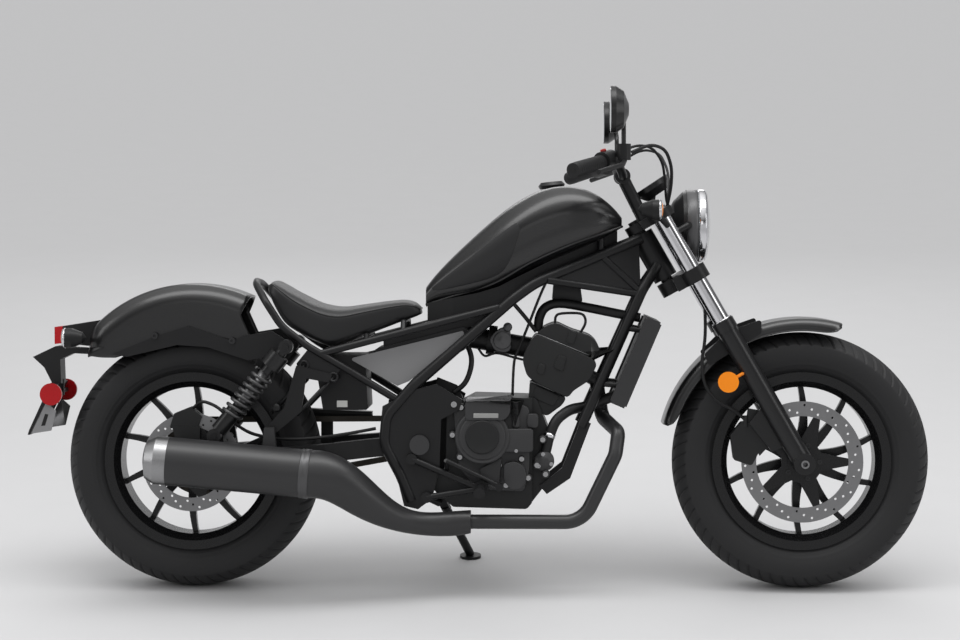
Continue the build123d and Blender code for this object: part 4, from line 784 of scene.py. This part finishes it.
CLAMP = [(13.2, -5), (14.8, -5), (14.8, 5), (13.2, 5)]
clamp = lathe(CLAMP, (874.6, -95, 380), (26, 10, 82), 48)
stand_up("hose_clamp", clamp, "chassis", chrome)
stand_up("radiator_fins", fins, "chassis", core_metal, smooth=False)
UPPER_HOSE = [
    (846, -30, 630), (850, -30, 665), (866, -30, 690), (900, -30, 699),
    (961, -30, 690), (1046, -30, 673), (1096, -30, 664),
]
BREATHER = [(776, -66, 712), (796, -50, 688), (816, -42, 664), (842, -42, 630)]
HEAD_LEAD = [
    (888, -50, 650), (890, -50, 668), (905, -50, 675), (948, -50, 675),
    (961, -50, 664), (960, -50, 646), (944, -50, 620),
]
CLUTCH_CABLE = [
    (866, -70, 752), (850, -64, 716), (824, -62, 650), (800, -62, 590), (788, -62, 556), (784, -62, 474),
]
DRAIN = [(640, -84, 482), (668, -84, 506), (682, -80, 540), (683, -70, 572), (668, -56, 602), (640, -50, 606)]
SENSOR_LEAD = [(700, -30, 588), (716, -34, 570), (745, -38, 577), (790, -40, 566), (830, -40, 556)]
HOSES = [
    # radius, places on its way
    (11.5, UPPER_HOSE),
    (5.0, BREATHER),
    (3.2, HEAD_LEAD),
    (3.4, CLUTCH_CABLE),
    (6.5, DRAIN),
    (3.0, SENSOR_LEAD),
]
# Moulded hose: black rubber, smoother than the tyres.
hose_rubber = surface("moulded_hose_rubber", "#0f0f10", "#141415", 0.5, 1.2, 0.2, Specular_IOR_Level=0.35)
dress(hose_rubber, "coolant_hose")
runs = [tube_along(smooth_run(places, 6), radius, 12) for radius, places in HOSES]
stand_up("engine_hoses", runs, "chassis", hose_rubber)
COIL = [(880, 704), (884, 752), (950, 742), (956, 700)]
coil_case = as_mesh("ignition_coil", [slab(COIL, 20, 0, 2.0, side) for side in (-1, 1)])
stand_up("ignition_coil", coil_case, "chassis", core_metal)

# ---- Exhaust ----
# A steel header and silencer in heat-proof black, with a bead where the body meets the bend.
# The end cap is brushed stainless with a bevelled rim.
CAN_REAR, CAN_FRONT = Vector((-39, -204, 325)), Vector((300, -204, 295))
can_way = (CAN_FRONT - CAN_REAR).normalized()
# Heat-proof paint: a warm dark grey with a long soft highlight.
heat_black = surface("heat_proof_black", "#232324", "#2b2b2c", 0.36, 1.0, 0.12, Specular_IOR_Level=0.45)
dress(heat_black, "silencer", "header_pipe")
# Brushed stainless: bright, with the light spread along the brushing.
cap_steel = surface("brushed_stainless_cap", "#9a9a9b", "#8b8b8c", 0.3, 0.6, 0.15, metallic=0.9)
dress(cap_steel, "silencer_cap")
# Satin steel under clear heat lacquer: a grey band between the blacks.
band_steel = surface("satin_exhaust_band", "#4b4b4c", "#575758", 0.34, 0.8, 0.1, metallic=0.6)
BEAD = [(57, 318), (59.4, 320), (59.4, 324), (58.4, 326), (59.6, 328), (59.6, 340), (57, 343)]
stand_up("silencer_bead", lathe(BEAD, CAN_REAR, can_way, 96), "chassis", band_steel)
OUTLET = [
    (0, -24), (24, -24), (25.6, -52.2), (27.5, -52.4), (27.5, -51.9),
    (29, -51.9), (29, -52.6), (24, -53), (22.8, -28), (0, -28),
]
# The outlet's inner cup is near black: painted shade for the inside of the pipe.
stand_up("silencer_outlet", lathe(OUTLET, CAN_REAR, can_way, 64), "chassis", painted_hole_shade)

# ---- Fuel tank ----
# Two pressed steel halves, welded along a rolled seam at the bottom, in satin black.
# A matte knee panel is let into each side.
TANK_STATIONS = [
    # x, half width, top, bottom
    (572, 52, 738, 690),
    (640, 84, 815, 704),
    (740, 118, 906, 728),
    (830, 132, 966, 778),
    (930, 128, 984, 826),
    (1010, 98, 950, 862),
    (1050, 62, 908, 884),
]
SEAM_RADIUS = 3.4
CORNER_SHARE = 0.42
IN_FROM_CORNER = 0.293  # how far a quarter round's middle stands in from its corner, as a share
seam_run = []
for x, half, top, bottom in TANK_STATIONS:
    corner = CORNER_SHARE * min(top - bottom, 2 * half)
    seam_run.append((x, half - IN_FROM_CORNER * corner, bottom + IN_FROM_CORNER * corner))
seam_left = smooth_run(seam_run, 8)
seam_loop = seam_left + [(x, -y, z) for x, y, z in reversed(seam_left)]
stand_up("tank_seam", tube_along(seam_loop, SEAM_RADIUS, 8), "chassis", satin_black)

tank_mesh = frame["nodes"]["fuel_tank"].data
upright = STANDING.inverted()
tank_skin = BVHTree.FromPolygons(
    [upright @ v.co for v in tank_mesh.vertices], [tuple(p.vertices) for p in tank_mesh.polygons]
)
# Matte lacquer: the same black with the shine taken off.
knee_matte = surface("matte_knee_panel", "#1b1b1c", "#202021", 0.6, 1.0, 0.2, Specular_IOR_Level=0.3)
KNEE_TOP = smooth_run([(586, 736), (600, 750), (690, 822), (782, 892), (799, 894)], 12)
KNEE_LOW = smooth_run([(590, 731), (640, 738), (742, 763.8), (778, 802), (803, 880)], 12)
KNEE_ROWS = 14
PROUD, SUNK_EDGE, BACK = 1.2, -1.0, -1.6
panels = []
for side in (-1, 1):
    outer, inner = [], []
    for i, (above, below) in enumerate(zip(KNEE_TOP, KNEE_LOW)):
        outer.append([])
        inner.append([])
        for k in range(KNEE_ROWS + 1):
            x, z = Vector(above).lerp(Vector(below), k / KNEE_ROWS)
            hit = tank_skin.ray_cast(Vector((x, side * 400, z)), Vector((0, -side, 0)))[0]
            y = hit.y if hit else side * 100
            edge = i in (0, len(KNEE_TOP) - 1) or k in (0, KNEE_ROWS)
            outer[-1].append((x, y + side * (SUNK_EDGE if edge else PROUD), z))
            inner[-1].append((x, y + side * BACK, z))
    panels.append(hollow_sheet(outer, inner))
stand_up("tank_knee_panels", panels, "chassis", knee_matte)

# ---- Painted shade under the tank and behind the side covers ----
# Near-black box and sheets of painted shade that close the space under the tank and behind the side covers.
# Nothing is seen through them from the side.
SHADE_BOX_STATIONS = [
    # x, half width, low, high
    (576, 54, 654, 700),
    (640, 80, 664, 714),
    (700, 90, 682, 726),
    (752, 94, 698, 742),
    (790, 94, 716, 762),
    (839, 89, 750, 786),
    (930, 62, 788, 830),
    (1010, 38, 822, 866),
    (1040, 28, 834, 880),
]
# A near-black box of painted shade fills the space under the tank.
shade_box = bmesh.new()
hoops = []
for x, half, low, high in SHADE_BOX_STATIONS:
    corners = ((x, -half, low), (x, half, low), (x, half, high), (x, -half, high))
    hoops.append([shade_box.verts.new(p) for p in corners])
for a, b in zip(hoops, hoops[1:]):
    for k in range(4):
        n = (k + 1) % 4
        shade_box.faces.new((a[k], a[n], b[n], b[k]))
shade_box.faces.new(hoops[0])
shade_box.faces.new(hoops[-1])
# Painted shade: the dullest black on the machine, matt and near black.
painted_shade_black = surface("matte_painted_shade", "#0b0b0c", "#101011", 0.55, 1.4, 0.2, Specular_IOR_Level=0.3)
stand_up("tank_shade_box", shade_box, "chassis", painted_shade_black, smooth=False)
REAR_SHADE_SHEET = [(470, 584), (520, 602), (700, 648), (745, 672), (722, 694), (520, 640), (470, 624)]
# Flat sheets of painted shade too: one behind the engine on the right, and one on each side under the seat.
shade_sheets = [slab([(585, 296), (668, 296), (668, 452), (650, 500), (600, 520), (585, 440)], 64, 60, 0.8)]
shade_sheets += [slab(REAR_SHADE_SHEET, 86, 82, 0.8, side) for side in (-1, 1)]
stand_up("inner_shade_sheets", shade_sheets, "chassis", painted_shade_black)

# ---- Seat ----
# A moulded foam pad under a grained synthetic cover, stapled beneath a plastic pan.
# The top meets the side along a piped seam; the cover is pulled tight and wrinkles a little in the dip.
SEAT_STATIONS = [
    # top x and z, bottom x and z, half width
    (190, 748, 186, 738, 70),
    (203, 754, 192, 722, 92),
    (228, 742, 208, 688, 104),
    (258, 725, 232, 652, 110),
    (292, 708, 272, 626, 113),
    (330, 694, 318, 604, 113),
    (372, 690, 356, 598, 109),
    (420, 696, 420, 622, 99),
    (470, 703, 472, 642, 86),
    (515, 707, 516, 659, 73),
    (542, 702, 543, 668, 63),
    (558, 690, 560, 676, 52),
]
SEAT_SIDES = 64
PIPING_TURN, PIPING_RADIUS = 0.36, 1.6
TOP_SQUARE, BELOW_SQUARE = 0.5, 0.34
CROWN, CREASE, DIP, DIP_REACH = 3, 0.7, 300, 90
seat_shape = bmesh.new()
loops = []
piping = []
for tx, tz, bx, bz, half in smooth_run(SEAT_STATIONS, 5):
    top, bottom = Vector((tx, 0, tz)), Vector((bx, 0, bz))
    middle, reach = (top + bottom) / 2, (top - bottom) / 2
    ring = []
    for k in range(SEAT_SIDES):
        t = 2 * math.pi * k / SEAT_SIDES
        square = TOP_SQUARE if math.sin(t) > 0 else BELOW_SQUARE
        across = math.copysign(abs(math.cos(t)) ** square, math.cos(t)) * half
        high = math.copysign(abs(math.sin(t)) ** square, math.sin(t))
        crown = CROWN * (1 - (across / half) ** 2) if high > 0 else 0
        near_dip = max(0, 1 - abs(tx - DIP) / DIP_REACH) * (high > 0.6)
        crease = CREASE * math.sin(tx / 9 + across / 25) * near_dip
        ring.append(seat_shape.verts.new(middle + reach * high + Vector((0, across, crown - CROWN + crease))))
    loops.append(ring)
    over, out = math.sin(PIPING_TURN) ** TOP_SQUARE, math.cos(PIPING_TURN) ** TOP_SQUARE
    piping.append(tuple(middle + reach * over + Vector((0, half * out + 0.2, -2.6))))
for a, b in zip(loops, loops[1:]):
    for k in range(SEAT_SIDES):
        n = (k + 1) % SEAT_SIDES
        seat_shape.faces.new((a[k], a[n], b[n], b[k]))
seat_shape.faces.new(loops[0])
seat_shape.faces.new(loops[-1])
# Grained vinyl: black with a leathery grain, and a faint sheen where the foam turns away.
vinyl = {"Specular_IOR_Level": 0.4, "Sheen_Weight": 0.08, "Sheen_Roughness": 0.4}
seat_vinyl = surface("grained_seat_vinyl", "#101011", "#151516", 0.4, 1.8, 0.4, **vinyl)
seat_piece = stand_up("seat_cushion", seat_shape, "chassis", seat_vinyl)
soften = seat_piece.modifiers.new("soften", "SUBSURF")
soften.levels = soften.render_levels = 1
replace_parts(seat_piece, "seat")
far_piping = [(x, -y, z) for x, y, z in piping]
welts = [tube_along(path, PIPING_RADIUS, 8) for path in (piping, far_piping)]
stand_up("seat_piping", welts, "chassis", seat_vinyl)

# ---- Side covers and the box under the seat ----
# Injection-moulded nylon covers in grey; the black border where they meet the frame is not drawn.
# A small blank sticker is left on the box.

# Grey lacquer with a little metal flake on nylon: flat, mid grey, softly shaded.
cover_grey = surface("moulded_grey_cover", "#707071", "#7a7a7b", 0.44, 1.0, 0.2, metallic=0.2)
dress(cover_grey, "side_covers")
label = slab([(356, 447), (356, 463), (382, 463), (382, 447)], 84.9, 84.1, 0.3)
# Paper-white film with nothing on it.
pale_vinyl = surface("blank_label_film", "#c9c9c6", "#bfbfbc", 0.4, 2.0, 0.05)
stand_up("blank_label", label, "chassis", pale_vinyl)

# ---- Shock absorbers ----
# Coil springs in enamelled wire around a ground damper rod, under a steel dust cover.
# The wire is round and wound to an even pitch.
SHOCK_TOP, SHOCK_FOOT = Vector((239, 150, 597)), Vector((65, 150, 382))
shock_way = (SHOCK_TOP - SHOCK_FOOT).normalized()
shock_long = (SHOCK_TOP - SHOCK_FOOT).length
TURNS, TURN_STEPS = 8, 30
FIRST_COIL, LAST_COIL = 66, shock_long - 84
COIL_RADIUS, WIRE_RADIUS = 23.5, 4.4
# Enamel on spring wire: dark grey, with a bright dash on each turn.
spring_paint = surface("black_spring_enamel", "#2a2a2b", "#323233", 0.3, 0.8, 0.05, Coat_Weight=0.3)
# Ground steel: grey metal with a clear streak down its length.
damper_steel = surface("ground_damper_body", "#5a5a5b", "#646465", 0.3, 0.8, 0.08, metallic=0.9)
beside = shock_way.cross(Vector(SIDEWAYS)).normalized()
coils = []
dampers = []
for side in (-1, 1):
    path = []
    for i in range(TURNS * TURN_STEPS + 1):
        t = i / TURN_STEPS
        along = FIRST_COIL + (LAST_COIL - FIRST_COIL) * t / TURNS
        out = beside * math.cos(2 * math.pi * t) + Vector(SIDEWAYS) * math.sin(2 * math.pi * t)
        point = SHOCK_FOOT + shock_way * along + out * COIL_RADIUS
        path.append((point.x, side * point.y, point.z))
    coils.append(tube_along(path, WIRE_RADIUS, 10))
    foot = Vector((SHOCK_FOOT.x, side * SHOCK_FOOT.y, SHOCK_FOOT.z))
    barrel = [(0, 30), (14, 30), (14, shock_long - 80), (0, shock_long - 80)]
    dampers.append(lathe(barrel, foot, shock_way, 40))
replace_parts(stand_up("shock_coils", coils, "chassis", spring_paint), "shock_springs")
stand_up("damper_bodies", dampers, "chassis", damper_steel)

# ---- Passenger-peg hangers ----
# Forged steel V-shaped hangers with an eye at each upper end, painted satin black.
# They bolt through to the frame; the worn edges catch a thin line of light.
EYES = [(280, 552), (352, 523)]
PEG_ARMS = [[EYES[0], (263, 502), (200, 436)], [EYES[1], (263, 431), (231, 461)]]
HANGER_OUT, HANGER_FOOT, HANGER_BAR = 126, 84, 5.2
hangers = []
for side in (-1, 1):
    for path in PEG_ARMS:
        hangers.append(tube_along([(x, side * HANGER_OUT, z) for x, z in path], HANGER_BAR, 10))
    for place in EYES:
        hangers.append(drum(place, [(12.5, 132), (11.5, 134), (7.5, 134), (7, 128)], HANGER_FOOT, side))
    hangers.append(drum((212, 448), [(11, 132), (9, 136), (3, 137)], HANGER_FOOT, side))
stand_up("peg_hangers", hangers, "chassis", powder_coat)

# ---- Plate holder ----
# Folded steel, zinc plated, with one adjusting slot, shown as painted shade; no plate text or number is on
# it.
# It bolts to the tail bracket.
FLANGE = [(-392, 381), (-343, 388.5), (-331, 437), (-355, 458)]
flanges = [slab(FLANGE, 90.4, 88.4, 0.4, side) for side in (-1, 1)]
stand_up("plate_flanges", flanges, "chassis", light_alloy)
# The slot is not cut: a thin near-black sheet on the flange is painted shade where the slot would be.
painted_slot_shade = slab([(-368, 400), (-358, 401), (-350, 428), (-358, 430)], 90.9, 90.2, 0.2)
stand_up("flange_slot_painted_shade", painted_slot_shade, "chassis", painted_hole_shade)

# ---- Bolts ----
# Zinc-plated cap screws with a hexagon socket, pressed home on every cover, clamp and disc.
# A few on the wheels and the fender's side plates are black.
screw_tree, given = new_tree(
    "cap_screws",
    [
        ("Head Radius", "Float", 6.0),
        ("Head Height", "Float", 5.0),
        ("Socket Radius", "Float", 3.1),
        ("Finish", "Material", light_alloy),
    ],
)
high = ("Depth", given["Head Height"])
head = add(screw_tree, "GeometryNodeMeshCylinder", [("Radius", given["Head Radius"]), high], Vertices=20)
key = add(screw_tree, "GeometryNodeMeshCylinder", [("Radius", given["Socket Radius"]), high], Vertices=6)
half_head = add(screw_tree, "ShaderNodeMath", [(0, given["Head Height"])], operation="MULTIPLY")
half_head.inputs[1].default_value = 0.5
rise = add(screw_tree, "ShaderNodeCombineXYZ", [("Z", half_head.outputs[0])])
lift = [("Geometry", key.outputs[0]), ("Translation", rise.outputs[0])]
lifted = add(screw_tree, "GeometryNodeTransform", lift)
cut = [("Mesh 1", head.outputs[0]), ("Mesh 2", lifted.outputs[0])]
socketed = add(screw_tree, "GeometryNodeMeshBoolean", cut, operation="DIFFERENCE")
size = add(screw_tree, "GeometryNodeInputNamedAttribute", data_type="FLOAT", Name="size")
facing = add(screw_tree, "GeometryNodeInputNamedAttribute", data_type="FLOAT_VECTOR", Name="facing")
aimed = add(screw_tree, "FunctionNodeAlignRotationToVector", [("Vector", facing.outputs[0])], axis="Z")
links = [("Points", given["Geometry"]), ("Instance", socketed.outputs[0])]
links += [("Rotation", aimed.outputs[0]), ("Scale", size.outputs[0])]
finish_tree(screw_tree, add(screw_tree, "GeometryNodeInstanceOnPoints", links).outputs[0], given["Finish"])
# Bright zinc: pale, bluish-grey and shiny.
bolt_zinc = surface("bright_zinc_screws", "#b4b4b5", "#a3a3a4", 0.28, 0.6, 0.1, metallic=1.0)
# Black oxide: dark metal that only shines on its edges.
bolt_black = surface("black_oxide_screws", "#2e2e2f", "#383839", 0.36, 0.6, 0.1, metallic=0.7)


def screws(name, body, material, places):
    """Cap screws at (x, y, z, facing, size): one mesh on one body."""
    seeds = bpy.data.meshes.new(name)
    seeds.from_pydata([place[:3] for place in places], [], [])
    facings = seeds.attributes.new("facing", "FLOAT_VECTOR", "POINT")
    facings.data.foreach_set("vector", [c for place in places for c in place[3]])
    sizes = seeds.attributes.new("size", "FLOAT", "POINT")
    sizes.data.foreach_set("value", [place[4] for place in places])
    stand_up(name, grown(screw_tree, seeds), body, material, smooth=False)


RIGHT, LEFT = (0, -1, 0), (0, 1, 0)


def ring_of(centre, radius, count, start, y, way, scale):
    """Screws spread evenly round a centre in the side view."""
    turns = [math.radians(start + 360 * index / count) for index in range(count)]
    return [(*around(centre, radius, t, y), way, scale) for t in turns]


cover_screws = [(x, -115.5, z, RIGHT, 1.0) for x, z in SCREW_LUGS]
cover_screws += [(794, -140, 346, RIGHT, 0.7), (643, -126, 457, RIGHT, 1.2), (541, -126, 325, RIGHT, 1.2)]
cover_screws += ring_of(Vector((PUMP[0], 0, PUMP[1])), 18, 3, 100, -113, RIGHT, 0.8)
cover_screws += ring_of(Vector((GENERATOR[0], 0, GENERATOR[1])), 60, 5, 20, 130, LEFT, 1.0)
screws("engine_screws", "chassis", bolt_zinc, cover_screws)
for body, centre, y, radius in (("front_wheel", FRONT_AXLE, -69.5, 42), ("rear_wheel", REAR_AXLE, -91.5, 52)):
    spots = ring_of(centre, radius, ARMS, 0, y, RIGHT, 1.0)
    screws(body + "_disc_screws", body, bolt_black, spots)
STRUT_HOLES = [(-86, 621.3), (102.5, 609.5)]
strut_spots = [(x, side * 104, z, (0, side, 0), 1.3) for side in (-1, 1) for x, z in STRUT_HOLES]
screws("strut_screws", "chassis", bolt_black, strut_spots)

# ---- Studio ----
# A wide pale floor under one long soft lamp, with weaker ones at each end, in front and behind.
# The camera and bright metal see a room that is pale low down, dark above that and bright overhead.
FLOOR_HALF = 60
floor_mesh = bpy.data.meshes.new("floor")
floor_corners = [(x * FLOOR_HALF, y * FLOOR_HALF, 0) for x, y in ((-1, -1), (1, -1), (1, 1), (-1, 1))]
floor_mesh.from_pydata(floor_corners, [], [(0, 1, 2, 3)])
floor = bpy.data.objects.new("floor", floor_mesh)
bpy.context.scene.collection.objects.link(floor)
# Matt floor paint: pale and even, so that the shadows on it stay soft.
floor_mesh.materials.append(surface("pale_studio_floor", "#b8b8b9", "#b5b5b6", 0.8, 3.0, 0.02))

ROOM_PALE, ROOM_DARK, OVERHEAD = "#aaaaab", "#303031", "#ffffff"
PALE_TOP, DARK_TOP = 0.15, 0.34  # heights in the room, as shares of the way up
SEEN_STRENGTH = 1.45
FILL_LOW, FILL_HIGH, FILL_TOP = 0.1, 1.45, 0.9
world = bpy.data.worlds.new("studio")
bpy.context.scene.world = world
world.use_nodes = True
room = world.node_tree
room.nodes.clear()
rays = add(room, "ShaderNodeLightPath").outputs
up = add(room, "ShaderNodeSeparateXYZ", [("Vector", add(room, "ShaderNodeTexCoord").outputs["Generated"])])
sweep = add(room, "ShaderNodeValToRGB", [("Fac", up.outputs["Z"])])
stops = sweep.color_ramp.elements
stops[0].color, stops[1].color = light(ROOM_PALE), light(OVERHEAD)
for height, colour in ((PALE_TOP, ROOM_PALE), (DARK_TOP, ROOM_DARK)):
    stops.new(height).color = light(colour)
seen = add(room, "ShaderNodeBackground", [("Color", sweep.outputs[0])], Strength=SEEN_STRENGTH)
ramp = add(room, "ShaderNodeMapRange", [("Value", up.outputs["Z"])], interpolation_type="SMOOTHSTEP")
for title, value in (("From Max", FILL_TOP), ("To Min", FILL_LOW), ("To Max", FILL_HIGH)):
    ramp.inputs[title].default_value = value
fill = add(room, "ShaderNodeBackground", [("Strength", ramp.outputs[0])], Color=light("#ffffff"))
either = [(0, rays["Is Glossy Ray"]), (1, rays["Is Transmission Ray"])]
mirrored = add(room, "ShaderNodeMath", either, operation="MAXIMUM")
any_of = [(0, mirrored.outputs[0]), (1, rays["Is Camera Ray"])]
looking = add(room, "ShaderNodeMath", any_of, operation="MAXIMUM")
shades = [("Fac", looking.outputs[0]), (1, fill.outputs[0]), (2, seen.outputs[0])]
add(room, "ShaderNodeOutputWorld", [("Surface", add(room, "ShaderNodeMixShader", shades).outputs[0])])

LAMPS = [
    # name, place, aim, width, height, watts
    ("top_lamp", (0.1, -0.5, 3.0), (0, -0.05, 0.5), 4.5, 1.1, 56),
    ("front_lamp", (3.4, -1.6, 1.8), (0.2, 0, 0.6), 1.0, 2.2, 16),
    ("rear_lamp", (-3.4, -1.4, 1.8), (-0.2, 0, 0.6), 1.0, 2.2, 16),
    ("near_lamp", (0.0, -4.4, 2.2), (0, 0, 0.4), 3.4, 0.8, 8),
    ("far_lamp", (0.0, 4.2, 2.4), (0, 0, 0.5), 3.0, 1.0, 22),
]
for name, place, aim, width, height, watts in LAMPS:
    lamp = bpy.data.lights.new(name, "AREA")
    lamp.shape = "RECTANGLE"
    lamp.size, lamp.size_y, lamp.energy = width, height, watts
    holder = bpy.data.objects.new(name, lamp)
    holder.location = place
    holder.rotation_euler = (Vector(aim) - Vector(place)).to_track_quat("-Z", "Y").to_euler()
    bpy.context.scene.collection.objects.link(holder)
bpy.context.scene.view_settings.view_transform = "Standard"
